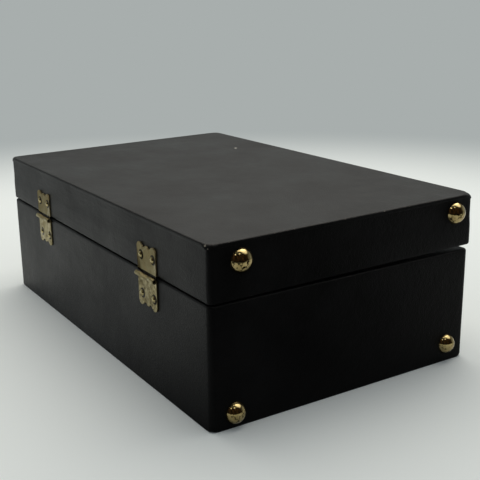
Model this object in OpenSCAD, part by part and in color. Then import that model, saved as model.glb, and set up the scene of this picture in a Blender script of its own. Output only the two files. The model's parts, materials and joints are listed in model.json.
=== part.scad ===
/* [Case] */
// Length of the base, from the feet end to the handle end
case_l = 381; // [360:1:400]
// Width of the base, from the latch side to the hinge side
case_w = 236; // [230:1:250]
// Height of the base, from the large back face to its rim
base_h = 90.6; // [88:0.1:96]
// Height of the lid shell
lid_h = 41; // [39:0.1:46]
// Gap between the two rims at the hinge side
seam_gap = 0.4; // [0.3:0.1:1]
// Angle at which the lid stands off the base when it is down
lid_ajar = 0.7; // [0.1:0.1:0.9]
// How far the lid reaches past the base at each end
lid_over_end = 1; // [0:0.1:1.5]
// How far the lid reaches past the base at the latch side
lid_over_latch = 1.6; // [0:0.1:2]
// Radius of the upright corners
corner_r = 4.5; // [3.5:0.5:8]

/* [Boards and covering] */
// Thickness of the side and end boards
board_t = 8; // [7:0.1:9]
// Thickness of the large back and lid panels
panel_t = 4; // [3:0.1:5]
// Thickness of the leatherette covering
cover_t = 0.9; // [0.7:0.1:1.2]
// Thickness of the felt lining
lining_t = 0.9; // [0.7:0.1:1.2]
// How far the covering is turned in below the rim
turn_in = 12; // [8:0.5:16]
// Radius of the covered rim's outer edge
rim_r = 2; // [1.4:0.1:2.4]
// How far the lid's top sheet laps down over its sides
lap_h = 2.8; // [2.2:0.1:4]
// Radius of the top sheet's folded edge
fold_r = 1.3; // [0.9:0.1:1.4]
// Height of the doubled covering round the lid's lower half
band_h = 19.5; // [15:0.5:22]
// How far that band and the top sheet's lap stand proud of the lid's sides
band_t = 0.5; // [0.2:0.1:0.8]

/* [Hinges] */
// Distance from each end of the case to a hinge's centre
hinge_inset = 86; // [70:1:110]
// Width of a hinge leaf
leaf_w = 29; // [26:0.5:34]
// Length of a leaf from the barrel's axis to its lobes
leaf_len = 24; // [22:0.5:26]
// Thickness of a leaf
leaf_t = 1; // [0.8:0.1:1.2]
// Outer radius of the barrel
barrel_r = 1.8; // [1.6:0.1:2.1]
// Radius of the hinge pin
pin_r = 0.9; // [0.8:0.05:1]
// Distance of the barrel's axis outboard of the hinge side
axis_out = 2.3; // [2.2:0.05:2.6]
// Distance of the barrel's axis below the base's rim
axis_drop = 2.4; // [1.8:0.1:3]
// Distance between a leaf's nails, along the case
nail_span = 18.5; // [16:0.5:20]
// Distance of a leaf's nails from the barrel's axis
nail_rise = 14.75; // [12:0.25:17]

/* [Nails and feet] */
// Radius of a nail's domed head
head_r = 2.5; // [2:0.1:2.8]
// Height of that head
head_h = 1.2; // [0.8:0.1:1.3]
// Radius of a nail's shank
shank_r = 0.75; // [0.6:0.05:0.9]
// Length of a nail's shank
shank_len = 7; // [5:0.5:8]
// Radius of a domed foot
foot_r = 8; // [7:0.25:9]
// Height of a domed foot
foot_h = 6; // [4.5:0.25:7]
// Radius of the lid's two domed feet
lid_foot_r = 8.75; // [8:0.25:9]

/* [Latches] */
// Distance from each end of the case to a latch's centre
latch_inset = 86; // [70:1:110]
// Width of the hasp
hasp_w = 14; // [12:0.5:16]
// Length of the hasp below its axis
hasp_len = 27; // [25:0.5:28]
// Thickness of the hasp's sheet
hasp_t = 1.2; // [1:0.1:1.4]
// Distance of the hasp's loop below its axis
loop_drop = 20; // [18:0.5:21]
// Angle by which the undone hasp is folded up from its closed place
hasp_swing = 165; // [150:1:168]
// Height of the hasp's axis above the lid's rim
hasp_rise = 7; // [6:0.25:9]
// Width of the lock's housing
lock_w = 34; // [33:0.5:38]
// Height of the lock's housing
lock_h = 13; // [12:0.5:15]
// Depth of the lock's housing
lock_d = 4.2; // [4:0.1:4.3]
// Travel of the sliding bolt
bolt_travel = 3.5; // [3:0.1:3.8]

/* [Handle] */
// Distance between the two arms of the handle
handle_span = 96; // [84:1:110]
// Distance from the pivots to the middle of the grip
handle_reach = 34; // [31:0.5:38]
// Radius of the grip at its middle
grip_r = 8.5; // [7.5:0.25:9.5]
// Height of the pivots above the case's large back face
pivot_z = 58; // [54:1:62]
// Distance of the pivots from the handle end
pivot_out = 11; // [10.5:0.25:13]
// Radius of the pivot pins
pivot_r = 2; // [1.6:0.1:2.4]

/* [Inside] */
// Width of each bottle well
well_w = 77; // [74:0.5:79]
// Thickness of the dividers and shelves
divider_t = 4; // [3:0.25:5]
// Distance of the dividers' top below the rim
divider_drop = 8; // [7:0.5:12]
// Width of the bottle strap
strap_w = 22; // [18:1:28]
// Thickness of the bottle strap
strap_t = 1.6; // [1.2:0.1:1.8]
// Distance of the bottle strap from the feet end
strap_x = 150; // [140:1:165]
// Outer diameter of the shaker at its shoulder
shaker_d = 51; // [46:0.5:52]
// Length of the shaker with its cap
shaker_l = 158; // [150:1:162]
// Outer diameter of a tumbler at its lip
tumbler_d = 50; // [44:0.5:51]
// Height of a tumbler
tumbler_h = 60; // [54:1:64]
// How far each nested tumbler stands out of the next
tumbler_step = 11; // [9:0.5:12]
// Thickness of the drawn metal of shaker, tumblers and jigger
metal_t = 0.8; // [0.6:0.1:1]
// Length of the jigger
jigger_l = 74; // [66:1:76]

/* [Tools in the lid] */
// Thickness of the tool panel
tool_panel_t = 3; // [2.5:0.25:4]
// Thickness of the elastic loops
elastic_t = 0.8; // [0.6:0.1:1]
// Width of the elastic loops
elastic_w = 14; // [10:1:18]
// Length of the bar spoon
spoon_l = 250; // [220:1:270]
// Length of the corkscrew's worm
worm_l = 52; // [44:1:56]
// Length of the bottle opener
opener_l = 128; // [110:1:140]
// Diameter of the strainer's bowl
strainer_d = 66; // [56:1:72]

/* [Clearances] */
// Radial clearance of a pin in a part that turns on it
turn_fit = 0.05; // [0.02:0.01:0.1]
// Radial clearance of a nail or pin in the part that holds it
seat_fit = 0.02; // [0.01:0.01:0.05]
// Side clearance between knuckles, and round sliding parts
side_fit = 0.2; // [0.15:0.05:0.3]
// Gap left under loose things that lie in the case
lie_gap = 0.3; // [0.2:0.05:0.4]

/* [Hidden] */
$fn = 48;
eps = 0.01;

black = [0.12, 0.12, 0.12];
felt = [0.45, 0.07, 0.08];
ply = [0.72, 0.56, 0.36];
brass = [0.72, 0.6, 0.3];
steel = [0.75, 0.76, 0.78];

// Levels and inner sizes of the base
floor_z = cover_t + panel_t;
in_l = case_l - 2 * (cover_t + board_t);
in_w = case_w - 2 * (cover_t + board_t);
lined_l = in_l - 2 * lining_t;
lined_w = in_w - 2 * lining_t;
lined_z = floor_z + lining_t;
divider_z = base_h - divider_drop;
well_y = lined_w / 2 - well_w / 2;
divider_y = lined_w / 2 - well_w - divider_t / 2;
column_w = 2 * divider_y - divider_t;

// Sizes of the lid, which lies level here and is tilted by on_lid()
lid_l = case_l + 2 * lid_over_end;
lid_w = case_w + lid_over_latch;
lid_y = -lid_over_latch / 2;
lid_z = base_h + seam_gap;
lid_top = lid_z + lid_h;
lid_skin = cover_t + band_t;
lid_core_l = lid_l - 2 * lid_skin;
lid_core_w = lid_w - 2 * lid_skin;
lid_core_r = corner_r - lid_skin;
lid_in_l = lid_core_l - 2 * board_t;
lid_in_w = lid_core_w - 2 * board_t;
lid_roof = lid_top - cover_t - panel_t - lining_t;
lid_face_y = lid_y - lid_w / 2;

// The hinges' axis
axis_y = case_w / 2 + axis_out;
axis_z = base_h - axis_drop;
hinge_xs = [-case_l / 2 + hinge_inset, case_l / 2 - hinge_inset];

// The latches: the hasp's axis is found on the tilted lid
latch_xs = [-case_l / 2 + latch_inset, case_l / 2 - latch_inset];
hasp_barrel_r = 1.9;
hasp_pin_r = 0.8;
plate_t = 1;
hasp_axis_out = 2.6;
hasp_axis = tilted(lid_face_y - hasp_axis_out, lid_z + hasp_rise);
hasp_gap = 0.3;
hasp_back = case_w / 2 + lock_d + hasp_gap;
lock_z = hasp_axis[1] - loop_drop;
lock_wall = 1;

// Where a point of the level lid comes to lie when the lid is tilted
function tilted(y, z) = [
    axis_y + (y - axis_y) * cos(lid_ajar) + (z - axis_z) * sin(lid_ajar),
    axis_z - (y - axis_y) * sin(lid_ajar) + (z - axis_z) * cos(lid_ajar)
];

module on_lid() {
    translate([0, axis_y, axis_z]) rotate([-lid_ajar, 0, 0]) translate([0, -axis_y, -axis_z]) children();
}

// Outlines
module rounded_rect(l, w, r) {
    square([l - 2 * r, w], center = true);
    square([l, w - 2 * r], center = true);
    for (sx = [-1, 1], sy = [-1, 1]) translate([sx * (l / 2 - r), sy * (w / 2 - r)]) circle(r);
}

module slab(l, w, r, z0, z1) {
    translate([0, 0, z0]) linear_extrude(z1 - z0) rounded_rect(l, w, r);
}

module block(l, w, z0, z1) {
    translate([-l / 2, -w / 2, z0]) cube([l, w, z1 - z0]);
}

// Carries a profile round a rounded rectangle: x points outwards from its edge, y points up
module run_round(l, w, r) {
    for (k = [0, 1]) rotate([0, 0, 180 * k]) {
        translate([l / 2, w / 2 - r, 0]) rotate([90, 0, 0]) linear_extrude(w - 2 * r) children();
        rotate([0, 0, 90]) translate([w / 2, l / 2 - r, 0]) rotate([90, 0, 0]) linear_extrude(l - 2 * r)
            children();
        translate([l / 2 - r, w / 2 - r, 0]) rotate_extrude(angle = 90) translate([r, 0]) children();
        translate([-l / 2 + r, w / 2 - r, 0]) rotate([0, 0, 90]) rotate_extrude(angle = 90)
            translate([r, 0]) children();
    }
}

// What is cut off to round an upper outer edge at height z
module edge_round(l, w, r, z, er) {
    translate([0, 0, z]) run_round(l, w, r) difference() {
        translate([-er, -er]) square(er + 1);
        translate([-er, -er]) circle(er);
    }
}

// Rim side down: the same for a lower edge
module edge_round_below(l, w, r, z, er) {
    translate([0, 0, z]) mirror([0, 0, 1]) edge_round(l, w, r, 0, er);
}

// Fixings: every nail is drawn once here, and its holes are drawn with the same lists
module dome(r, h) {
    ball = (r * r + h * h) / (2 * h);
    $fn = 96;
    intersection() {
        translate([0, 0, h - ball]) sphere(ball);
        cylinder(h = h, r = r);
    }
}

module nail(clear) {
    if (clear == 0) dome(head_r, head_h);
    translate([0, 0, -shank_len]) cylinder(h = shank_len + (clear == 0 ? 0.2 : 5), r = shank_r + clear);
}

module leaf_nails(side, clear) {
    for (x = hinge_xs, s = [-1, 1])
        translate([x + s * nail_span / 2, case_w / 2 + leaf_t, axis_z + side * nail_rise])
            rotate([-90, 0, 0]) nail(clear);
}

lock_nail_x = lock_w / 2 - 3.2;
lock_plate_h = 26;
lock_nail_z = lock_z - lock_h / 2 - 3.6;
module lock_nails(clear) {
    for (x = latch_xs, s = [-1, 1])
        translate([x + s * lock_nail_x, -case_w / 2 - plate_t, lock_nail_z]) rotate([90, 0, 0]) nail(clear);
}

hasp_nail_x = hasp_w / 2 + head_r + 0.5;
hasp_nail_rise = 11;
module hasp_nails(clear) {
    for (x = latch_xs, s = [-1, 1])
        translate([x + s * hasp_nail_x, lid_face_y - plate_t, lid_z + hasp_rise + hasp_nail_rise])
            rotate([90, 0, 0]) nail(clear);
}

foot_shank_r = 1.2;
foot_shank_len = 8;
foot_fit = 0.05;
base_feet_at = [[98.6, 10.8], [-99.1, 14.7]];
lid_feet_at = [[92.5, lid_h - 14.5], [-101.8, lid_h - 13.5]];

// A foot is pressed into the covering, so its seat is cut with its hole
module foot(r, clear) {
    if (clear == 0) dome(r, foot_h);
    if (clear > 0) cylinder(h = foot_h, r = r + foot_fit);
    translate([0, 0, -foot_shank_len]) cylinder(h = foot_shank_len + 1, r = foot_shank_r + clear);
}
module base_foot_set(clear) {
    for (p = base_feet_at) translate([-case_l / 2, p[0], p[1]]) rotate([0, -90, 0]) foot(foot_r, clear);
}
module lid_foot_set(clear) {
    for (p = lid_feet_at) translate([-lid_l / 2 + band_t, p[0], lid_z + p[1]]) rotate([0, -90, 0])
        foot(lid_foot_r, clear);
}

bracket_l = 26;
bracket_w = 15;
bracket_t = 1.6;
screw_r = 1.4;
screw_head_r = 2.6;
screw_len = 9;
bracket_screw_x = 8.5;
module bracket_screw_set(clear) {
    for (s = [-1, 1], k = [-1, 1])
        translate([case_l / 2 + bracket_t, s * handle_span / 2 + k * bracket_screw_x, pivot_z])
            rotate([0, 90, 0]) {
            if (clear == 0) difference() {
                dome(screw_head_r, 1.1);
                translate([-screw_head_r, -0.35, 0.6]) cube([2 * screw_head_r, 0.7, 2]);
            }
            translate([0, 0, -screw_len])
                cylinder(h = screw_len + (clear == 0 ? 0.2 : 5), r = screw_r + clear);
        }
}

rivet_r = 3.2;
module strap_rivet_set(clear) {
    for (s = [-1, 1]) translate([strap_cx, s * (lined_w / 2 - strap_t), strap_z - 9]) rotate([s * 90, 0, 0]) {
        if (clear == 0) dome(rivet_r, 1.2);
        translate([0, 0, -7]) cylinder(h = 7.2, r = 1.1 + clear);
    }
    for (x = band_xs, s = [-1, 1]) translate([x, s * (column_w / 2 - elastic_t), band_z(x) - band_tab / 2])
        rotate([s * 90, 0, 0]) {
        if (clear == 0) dome(2, 0.8);
        translate([0, 0, -3]) cylinder(h = 3.2, r = 0.7 + clear);
    }
}

module base_holes() {
    leaf_nails(-1, seat_fit);
    lock_nails(seat_fit);
    base_foot_set(seat_fit);
    bracket_screw_set(seat_fit);
    strap_rivet_set(seat_fit);
}

module lid_holes() {
    leaf_nails(1, seat_fit);
    hasp_nails(seat_fit);
    lid_foot_set(seat_fit);
}

// Base: boards nailed and glued to the back panel
module board_ring(l, w, r, open_l, open_w) {
    difference() {
        rounded_rect(l, w, r);
        square([open_l, open_w], center = true);
    }
}

module base_board(x, y, l, w) {
    color(ply) difference() {
        translate([0, 0, floor_z]) linear_extrude(base_h - cover_t - floor_z) intersection() {
            board_ring(case_l - 2 * cover_t, case_w - 2 * cover_t, corner_r - cover_t, in_l, in_w);
            translate([x, y]) square([l, w], center = true);
        }
        base_holes();
    }
}

module base_back_panel() {
    color(ply) slab(case_l - 2 * cover_t, case_w - 2 * cover_t, corner_r - cover_t, cover_t, floor_z);
}
module base_hinge_board() {
    base_board(0, (in_w + case_w) / 4 + case_w / 8, case_l, case_w / 4 + (case_w - in_w) / 2);
}
module base_latch_board() {
    base_board(0, -(in_w + case_w) / 4 - case_w / 8, case_l, case_w / 4 + (case_w - in_w) / 2);
}
module base_feet_board() { base_board(-case_l / 2, 0, case_l / 2, in_w); }
module base_handle_board() { base_board(case_l / 2, 0, case_l / 2, in_w); }

module base_side_covering() {
    color(black) difference() {
        slab(case_l, case_w, corner_r, cover_t, base_h);
        difference() {
            slab(case_l - 2 * cover_t, case_w - 2 * cover_t, corner_r - cover_t, 0, base_h - cover_t);
            block(in_l, in_w, base_h - turn_in, base_h);
        }
        block(lined_l, lined_w, 0, base_h + 1);
        edge_round(case_l, case_w, corner_r, base_h, rim_r);
        base_holes();
    }
}
module base_back_covering() {
    color(black) difference() {
        slab(case_l, case_w, corner_r, 0, cover_t);
        edge_round_below(case_l, case_w, corner_r, 0, cover_t * 0.8);
    }
}
module base_lining() {
    color(felt) difference() {
        block(in_l, in_w, floor_z, base_h - turn_in);
        block(lined_l, lined_w, lined_z, base_h);
        base_holes();
    }
}

// Dividers, shelves and straps
scoop_r = 46;
scoop_d = 24;
module divider(s) {
    color(felt) difference() {
        translate([-lined_l / 2, s * divider_y - divider_t / 2, lined_z])
            cube([lined_l, divider_t, divider_z - lined_z]);
        translate([lined_l / 2 - lined_l / 3, s * divider_y - divider_t, divider_z + scoop_r - scoop_d])
            rotate([-90, 0, 0]) cylinder(h = 2 * divider_t, r = scoop_r);
        strap_rivet_set(seat_fit);
    }
}
module divider_hinge_side() { divider(1); }
module divider_latch_side() { divider(-1); }

// The middle column, from the feet end: shaker, tumblers, jigger
column_x0 = -lined_l / 2;
tumbler_n = 4;
stack_l = tumbler_h + (tumbler_n - 1) * tumbler_step;
shaker_x = column_x0 + 1.5;
shelf_1 = shaker_x + shaker_l + 1.5;
stack_x = shelf_1 + divider_t + 1.5;
shelf_2 = stack_x + stack_l + 1.5;
jigger_x = shelf_2 + divider_t + 1.5;
shelf_h = 46;
module column_shelves() {
    color(felt) for (x = [shelf_1, shelf_2])
        translate([x, -column_w / 2, lined_z]) cube([divider_t, column_w, shelf_h]);
}

strap_cx = -case_l / 2 + strap_x;
strap_z = divider_z + lie_gap + 2 * strap_t + lie_gap;
strap_end = 17;
strap_tab = 16;
module strap_half(s, z) {
    x0 = strap_cx - strap_w / 2;
    color(black) difference() {
        union() {
            translate([x0, s > 0 ? -strap_end : -lined_w / 2, z - strap_t])
                cube([strap_w, lined_w / 2 + strap_end, strap_t]);
            translate([x0, s > 0 ? lined_w / 2 - strap_t : -lined_w / 2, strap_z - strap_tab])
                cube([strap_w, strap_t, z - strap_z + strap_tab]);
        }
        strap_rivet_set(seat_fit);
        translate([strap_cx, 0, z - 3 * strap_t]) cylinder(h = 6 * strap_t, r = snap_post_r + seat_fit);
    }
}
snap_post_r = 1.5;
snap_r = 6;
module strap_hinge_half() { strap_half(1, strap_z); }
module strap_latch_half() { strap_half(-1, strap_z - strap_t - lie_gap); }
module strap_snap_cap() {
    color(brass) translate([strap_cx, 0, strap_z]) {
        dome(snap_r, 1.6);
        translate([0, 0, -strap_t - lie_gap / 2]) cylinder(h = strap_t + 1, r = snap_post_r);
    }
}
module strap_snap_stud() {
    color(brass) translate([strap_cx, 0, strap_z - 2 * strap_t - lie_gap]) {
        mirror([0, 0, 1]) dome(snap_r - 1, 1.2);
        translate([0, 0, -0.5]) cylinder(h = strap_t + 0.5, r = snap_post_r);
    }
}

// Each band lies across one thing, at a share of that thing's length
band_w = elastic_w - 2;
band_xs = [shaker_x + shaker_l * 0.38, stack_x + tumbler_h / 3, jigger_x + jigger_l / 4];
band_tab = 11;
function band_z(x) = lined_z + 2 * lie_gap + elastic_t
    + (x == band_xs[0] ? shaker_d : x == band_xs[1] ? tumbler_d : jigger_d);
module column_bands() {
    color(black) for (x = band_xs) difference() {
        translate([x - band_w / 2, -column_w / 2, band_z(x) - band_tab]) cube([band_w, column_w, band_tab]);
        translate([x - band_w, -column_w / 2 + elastic_t, band_z(x) - elastic_t - 2 * band_tab])
            cube([2 * band_w, column_w - 2 * elastic_t, 2 * band_tab]);
        strap_rivet_set(seat_fit);
    }
}
module strap_rivets() { color(brass) strap_rivet_set(0); }

// Barware: turned and drawn shapes that lie along the column
module lying(x, d) {
    translate([x, 0, lined_z + lie_gap + d / 2]) rotate([0, 90, 0]) children();
}

shaker_cap_l = 30;
shaker_body_l = shaker_l * 0.66;
shaker_neck_r = 13;
module shaker_body() {
    color(steel) lying(shaker_x, shaker_d) difference() {
        union() {
            cylinder(h = shaker_body_l, r1 = shaker_d / 2 - 5, r2 = shaker_d / 2 - 1.2);
            translate([0, 0, shaker_body_l - 4]) cylinder(h = 2, r = shaker_d / 2);
        }
        translate([0, 0, 1.5]) cylinder(h = shaker_body_l - 1.5 + eps, r1 = shaker_d / 2 - 5 - metal_t,
            r2 = shaker_d / 2 - 1.2 - metal_t);
    }
}

// The strainer top seats on the body's rim, and its neck carries the cap
module shaker_top() {
    r = shaker_d / 2 - 0.8;
    top_l = shaker_l - shaker_body_l - 6;
    color(steel) lying(shaker_x + shaker_body_l, shaker_d) difference() {
        union() {
            cylinder(h = 3, r = r);
            intersection() {
                translate([0, 0, 3]) cylinder(h = top_l - 14, r = r);
                translate([0, 0, 3]) sphere(r);
            }
            cylinder(h = top_l, r = shaker_neck_r);
        }
        difference() {
            translate([0, 0, 3]) sphere(r - metal_t);
            translate([0, 0, top_l - 6]) cylinder(h = 40, r = 40);
        }
        translate([0, 0, -eps]) cylinder(h = 3 + eps, r = r - metal_t - 0.3);
        translate([0, 0, 3]) cylinder(h = top_l - 3 - metal_t, r = shaker_neck_r - metal_t);
        for (a = [0:60:300]) rotate([0, 0, a]) translate([6, 0, 3]) cylinder(h = top_l, r = 1.3);
        translate([0, 0, 3]) cylinder(h = top_l, r = 1.3);
    }
}
module shaker_cap() {
    inner = shaker_neck_r + side_fit;
    color(steel) lying(shaker_x + shaker_l - shaker_cap_l + 6, shaker_d) difference() {
        union() {
            cylinder(h = shaker_cap_l - 12, r1 = inner + 1.6, r2 = inner + 0.6);
            translate([0, 0, shaker_cap_l - 12]) dome(inner + 0.6, 6);
        }
        translate([0, 0, -eps]) cylinder(h = shaker_cap_l - 12 + lie_gap, r = inner);
    }
}

tumbler_foot = 3;
module tumbler(k) {
    r1 = tumbler_d / 2 - 1.4;
    r0 = r1 - 5.4;
    color(steel) lying(stack_x + k * tumbler_step, tumbler_d) difference() {
        union() {
            cylinder(h = tumbler_h, r1 = r0, r2 = r1);
            translate([0, 0, tumbler_h - 2]) cylinder(h = 2, r = tumbler_d / 2);
        }
        translate([0, 0, tumbler_foot])
            cylinder(h = tumbler_h - tumbler_foot + eps, r1 = r0 - metal_t + 0.25, r2 = r1 - metal_t);
    }
}
module tumbler_1() { tumbler(0); }
module tumbler_2() { tumbler(1); }
module tumbler_3() { tumbler(2); }
module tumbler_4() { tumbler(3); }

jigger_d = 42;
jigger_small_d = 36;
jigger_waist_r = 7;
module jigger() {
    big = jigger_l * 0.56;
    color(steel) lying(jigger_x, jigger_d) difference() {
        union() {
            cylinder(h = big, r1 = jigger_d / 2, r2 = jigger_waist_r);
            translate([0, 0, big]) cylinder(h = jigger_l - big, r1 = jigger_waist_r, r2 = jigger_small_d / 2);
            translate([0, 0, big - 2]) cylinder(h = 4, r = jigger_waist_r + 1);
        }
        translate([0, 0, -eps]) cylinder(h = big - 3, r1 = jigger_d / 2 - metal_t,
            r2 = jigger_waist_r - metal_t);
        translate([0, 0, big + 3])
            cylinder(h = jigger_l - big - 3 + eps, r1 = jigger_waist_r - metal_t,
                r2 = jigger_small_d / 2 - metal_t);
    }
}

module base_feet() { color(brass) base_foot_set(0); }
module lid_feet() { color(brass) on_lid() lid_foot_set(0); }

// Hinges: a leaf's end has two lobes with a low peak between them
knuckle = (leaf_w - 2 * side_fit) / 3;
lobe_r = leaf_w * 0.14;
notch_r = leaf_w * 0.1;
peak_drop = 1.4;
module leaf_outline() {
    difference() {
        union() {
            translate([-leaf_w / 2, 0]) square([leaf_w, leaf_len - lobe_r]);
            for (s = [-1, 1]) translate([s * (leaf_w / 2 - lobe_r), leaf_len - lobe_r]) circle(lobe_r);
            translate([-leaf_w / 2 + lobe_r, leaf_len - lobe_r])
                square([leaf_w - 2 * lobe_r, lobe_r - peak_drop]);
        }
        for (s = [-1, 1]) translate([s * leaf_w * 0.145, leaf_len]) circle(notch_r);
    }
}

// Knuckles number 0 and 2 belong to the base's leaf, number 1 to the lid's
module knuckle_at(k, r, extra) {
    translate([-leaf_w / 2 + k * (knuckle + side_fit) - extra, 0, 0]) rotate([0, 90, 0])
        cylinder(h = knuckle + 2 * extra, r = r);
}

module hinge_leaf(side) {
    mine = side < 0 ? [0, 2] : [1];
    others = side < 0 ? [1] : [0, 2];
    difference() {
        union() {
            translate([0, -axis_out + leaf_t, 0]) rotate([90, 0, 0]) linear_extrude(leaf_t)
                scale([1, side, 1]) leaf_outline();
            for (k = mine) knuckle_at(k, barrel_r, 0);
        }
        for (k = others) {
            knuckle_at(k, barrel_r + side_fit, side_fit);
            translate([-leaf_w / 2 + k * (knuckle + side_fit) - side_fit, -axis_out - 1,
                -barrel_r - side_fit])
                cube([knuckle + 2 * side_fit, axis_out + 1, 2 * (barrel_r + side_fit)]);
        }
        translate([-leaf_w, 0, 0]) rotate([0, 90, 0])
            cylinder(h = 2 * leaf_w, r = pin_r + (side < 0 ? seat_fit : turn_fit));
    }
}

module base_hinge_leaves() {
    color(brass) difference() {
        for (x = hinge_xs) translate([x, axis_y, axis_z]) hinge_leaf(-1);
        leaf_nails(-1, seat_fit);
    }
}
module lid_hinge_leaves() {
    color(brass) on_lid() difference() {
        for (x = hinge_xs) translate([x, axis_y, axis_z]) hinge_leaf(1);
        leaf_nails(1, seat_fit);
    }
}
module hinge_pins() {
    color(brass) for (x = hinge_xs) translate([x - leaf_w / 2 + 0.4, axis_y, axis_z]) rotate([0, 90, 0])
        cylinder(h = leaf_w - 0.8, r = pin_r);
}
module base_nails() {
    color(brass) {
        leaf_nails(-1, 0);
        lock_nails(0);
    }
}

// Latches: a housing on the base with a bolt that slides through the hasp's loop
bolt_h = 2.6;
bolt_t = 1.3;
bolt_in = 1.7;
loop_t = 1.4;
loop_h = 6;
thumb_l = 4;
thumb_x0 = -lock_w / 2 + lock_wall + side_fit + 0.4;
module lock_plate(x) {
    translate([x, -case_w / 2, lock_z]) rotate([90, 0, 0]) difference() {
        union() {
            translate([0, -lock_h / 2 - 7.2, 0]) linear_extrude(plate_t) union() {
                translate([-lock_w / 2 + 4, 0]) square([lock_w - 8, lock_h + 9]);
                translate([-lock_w / 2, 4]) square([lock_w, lock_h + 5]);
                for (s = [-1, 1]) translate([s * (lock_w / 2 - 4), 4]) circle(4);
            }
            translate([-lock_w / 2, -lock_h / 2, 0]) cube([lock_w, lock_h, lock_d]);
        }
        translate([-lock_w / 2 + lock_wall, -bolt_h / 2 - side_fit, plate_t])
            cube([lock_w - 2 * lock_wall, bolt_h + 2 * side_fit, lock_d - plate_t - lock_wall]);
        translate([thumb_x0 - side_fit, -bolt_h / 2 - side_fit, plate_t])
            cube([thumb_l + bolt_travel + 2 * side_fit, bolt_h + 2 * side_fit, lock_d]);
        translate([-loop_t / 2 - 2 * side_fit, -loop_h / 2 - 1, -eps])
            cube([loop_t + 4 * side_fit, loop_h + 2, 2 * lock_d]);
    }
}
module lock_plates() {
    color(brass) difference() {
        for (x = latch_xs) lock_plate(x);
        lock_nails(seat_fit);
    }
}
module lock_bolt(x) {
    tip_x = -loop_t / 2 - 2 * side_fit - 0.6;
    color(brass) translate([x, -case_w / 2, lock_z]) rotate([90, 0, 0]) {
        translate([thumb_x0, -bolt_h / 2, bolt_in]) cube([tip_x - thumb_x0, bolt_h, bolt_t]);
        translate([thumb_x0, -bolt_h / 2, bolt_in]) cube([thumb_l, bolt_h, lock_d + 0.4 - bolt_in]);
        difference() {
            translate([thumb_x0, -4.5, lock_d + side_fit]) cube([thumb_l, 9, 2.6]);
            for (k = [0:3]) translate([thumb_x0 + 0.2 + k * 1.05, -5, lock_d + 2.2 + side_fit])
                cube([0.45, 10, 1]);
        }
    }
}
module lower_lock_bolt() { lock_bolt(latch_xs[0]); }
module upper_lock_bolt() { lock_bolt(latch_xs[1]); }

// The lid's hasp plate carries two knuckles, and the hasp turns between them
hasp_knuckle = 6;
plate_w = 2 * (hasp_nail_x + head_r + 1.2);
plate_up = 18;
module hasp_plate(x) {
    translate([x, lid_face_y, lid_z + hasp_rise]) difference() {
        union() {
            rotate([90, 0, 0]) linear_extrude(plate_t) difference() {
                union() {
                    translate([-plate_w / 2, -hasp_barrel_r]) square([plate_w, plate_up]);
                    for (s = [-1, 1]) translate([s * (plate_w / 2 - 5), plate_up - hasp_barrel_r]) circle(5);
                }
                translate([0, plate_up + 3]) circle(6);
            }
            for (s = [-1, 1]) translate([s * (hasp_w / 2 + side_fit + hasp_knuckle / 2) - hasp_knuckle / 2,
                -hasp_axis_out, 0])
                rotate([0, 90, 0]) cylinder(h = hasp_knuckle, r = hasp_barrel_r);
        }
        translate([-plate_w, -hasp_axis_out, 0]) rotate([0, 90, 0])
            cylinder(h = 2 * plate_w, r = hasp_pin_r + seat_fit);
        translate([-hasp_w / 2 - side_fit, -hasp_axis_out - 3, -4])
            cube([hasp_w + 2 * side_fit, hasp_axis_out + 4, 6.4]);
    }
}
module hasp_plates() {
    color(brass) on_lid() difference() {
        for (x = latch_xs) hasp_plate(x);
        hasp_nails(seat_fit);
    }
}
module hasp_pins() {
    color(brass) on_lid() for (x = latch_xs)
        translate([x - hasp_w / 2 - side_fit - hasp_knuckle, lid_face_y - hasp_axis_out, lid_z + hasp_rise])
            rotate([0, 90, 0]) cylinder(h = hasp_w + 2 * (side_fit + hasp_knuckle), r = hasp_pin_r);
}
module lid_nails() {
    color(brass) on_lid() {
        leaf_nails(1, 0);
        hasp_nails(0);
    }
}

// The hasp is drawn closed, hanging from its axis, and then folded up
module hasp(x) {
    back = -hasp_back - hasp_axis[0];
    color(brass) translate([x, hasp_axis[0], hasp_axis[1]]) rotate([-hasp_swing, 0, 0]) difference() {
        union() {
            translate([-hasp_w / 2, 0, 0]) rotate([0, 90, 0]) cylinder(h = hasp_w, r = hasp_barrel_r);
            translate([0, back, 0]) rotate([90, 0, 0]) linear_extrude(hasp_t) union() {
                translate([-hasp_w / 2, -hasp_len + 5]) square([hasp_w, hasp_len - 5]);
                translate([-hasp_w / 2 + 5, -hasp_len]) square([hasp_w - 10, 5]);
                for (s = [-1, 1]) translate([s * (hasp_w / 2 - 5), -hasp_len + 5]) circle(5);
            }
            translate([-hasp_w / 2 + 4, back - hasp_t - 2.2, -hasp_len]) cube([hasp_w - 8, 2.2 + eps, 1.6]);
            loop();
        }
        translate([-hasp_w, 0, 0]) rotate([0, 90, 0]) cylinder(h = 2 * hasp_w, r = hasp_pin_r + turn_fit);
    }
    module loop() {
        reach = lock_d + hasp_gap - 0.25;
        difference() {
            translate([-loop_t / 2, back - eps, -loop_drop - loop_h / 2]) cube([loop_t, reach, loop_h]);
            translate([-loop_t, back + lock_d + hasp_gap - bolt_in - bolt_t - side_fit,
                -loop_drop - bolt_h / 2 - side_fit])
                cube([2 * loop_t, bolt_t + 2 * side_fit, bolt_h + 2 * side_fit]);
        }
    }
}
module lower_hasp() { hasp(latch_xs[0]); }
module upper_hasp() { hasp(latch_xs[1]); }

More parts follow.
